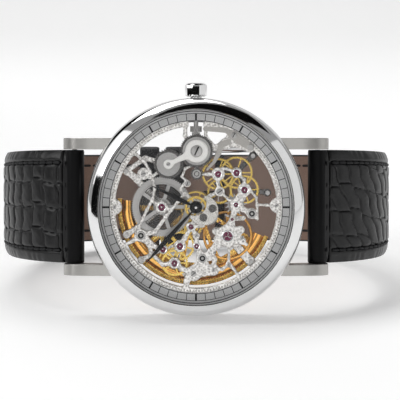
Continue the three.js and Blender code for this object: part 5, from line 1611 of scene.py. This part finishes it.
# the sweep: a floor that curves up into the background
sweep_line = [(-1.2, 0.0)] + [
    (0.5 + 0.25 * math.sin(a), 0.25 - 0.25 * math.cos(a)) for a in np.linspace(0, math.pi / 2, 12)
] + [(0.75, 1.4)]
floor_verts = [(x, y, z) for y, z in sweep_line for x in (-1.6, 1.6)]
floor_faces = [(2 * i, 2 * i + 1, 2 * i + 3, 2 * i + 2) for i in range(len(sweep_line) - 1)]
stage_mesh("floor", floor_verts, floor_faces, plain("floor_white", (0.9, 0.9, 0.9), 0.7, 0.22))

world = bpy.data.worlds.new("studio")
world.use_nodes = True
world.node_tree.nodes["Background"].inputs["Color"].default_value = (1.0, 1.0, 1.0, 1)
world.node_tree.nodes["Background"].inputs["Strength"].default_value = 0.34
sc.world = world


def softbox(name, where, size, power):
    data = bpy.data.lights.new(name, "AREA")
    data.shape = "RECTANGLE"
    data.size, data.size_y = size
    data.energy = power
    obj = bpy.data.objects.new(name, data)
    sc.collection.objects.link(obj)
    obj.location = where
    obj.rotation_euler = (ORIGIN - Vector(where)).to_track_quat("-Z", "Y").to_euler()
    return obj


softbox("front", (0.0, -0.62, 0.16), (0.42, 0.3), 0.46)
softbox("left", (-0.5, -0.25, 0.2), (0.3, 0.4), 0.8)
softbox("right", (0.5, -0.15, 0.2), (0.4, 0.4), 0.25)
softbox("upper_left", (-0.26, -0.1, 0.17), (0.2, 0.2), 0.12)
softbox("top", (-0.12, 0.12, 0.6), (0.6, 0.3), 2.2)
CARD_DISTANCE = 0.3
black = plain("card_black", (0.001, 0.001, 0.001), 1.0)


def toward(turn, out):
    """A direction seen from the dial: turn in degrees from +X to +Y, out in degrees from the dial's axis."""
    a, b = math.radians(turn), math.radians(out)
    return (SIDE * math.cos(a) + UP * math.sin(a)) * math.sin(b) + OUT * math.cos(b)


card("card_top", ORIGIN + CARD_DISTANCE * toward(78, 65), ORIGIN, 0.4, 0.16, black)
card("card_left", ORIGIN + CARD_DISTANCE * toward(184, 72), ORIGIN, 0.14, 0.22, black)
card("card_upper_left", ORIGIN + CARD_DISTANCE * toward(132, 108), ORIGIN, 0.16, 0.16, black)
card(
    "card_camera", ORIGIN - 0.31 * Vector((0, 0.985, -0.17)) + Vector((0, 0, 0.04)), ORIGIN, 0.07, 0.15,
    black
)

camera = bpy.data.cameras.new("camera")
LENS_MM, SENSOR_MM, CAMERA_DISTANCE, CAMERA_PITCH = 144.3, 36, 0.25, 10.37
camera.lens = LENS_MM
camera.sensor_width = SENSOR_MM
eye = bpy.data.objects.new("camera", camera)
sc.collection.objects.link(eye)
pitch = math.radians(CAMERA_PITCH)
forward = Vector((0, math.cos(pitch), -math.sin(pitch)))
upward = Vector((0, math.sin(pitch), math.cos(pitch)))
eye.location = ORIGIN - forward * CAMERA_DISTANCE + SIDE * 0.000625 + upward * 0.001115
eye.rotation_euler = forward.to_track_quat("-Z", "Y").to_euler()
sc.camera = eye
sc.view_settings.view_transform = "Standard"
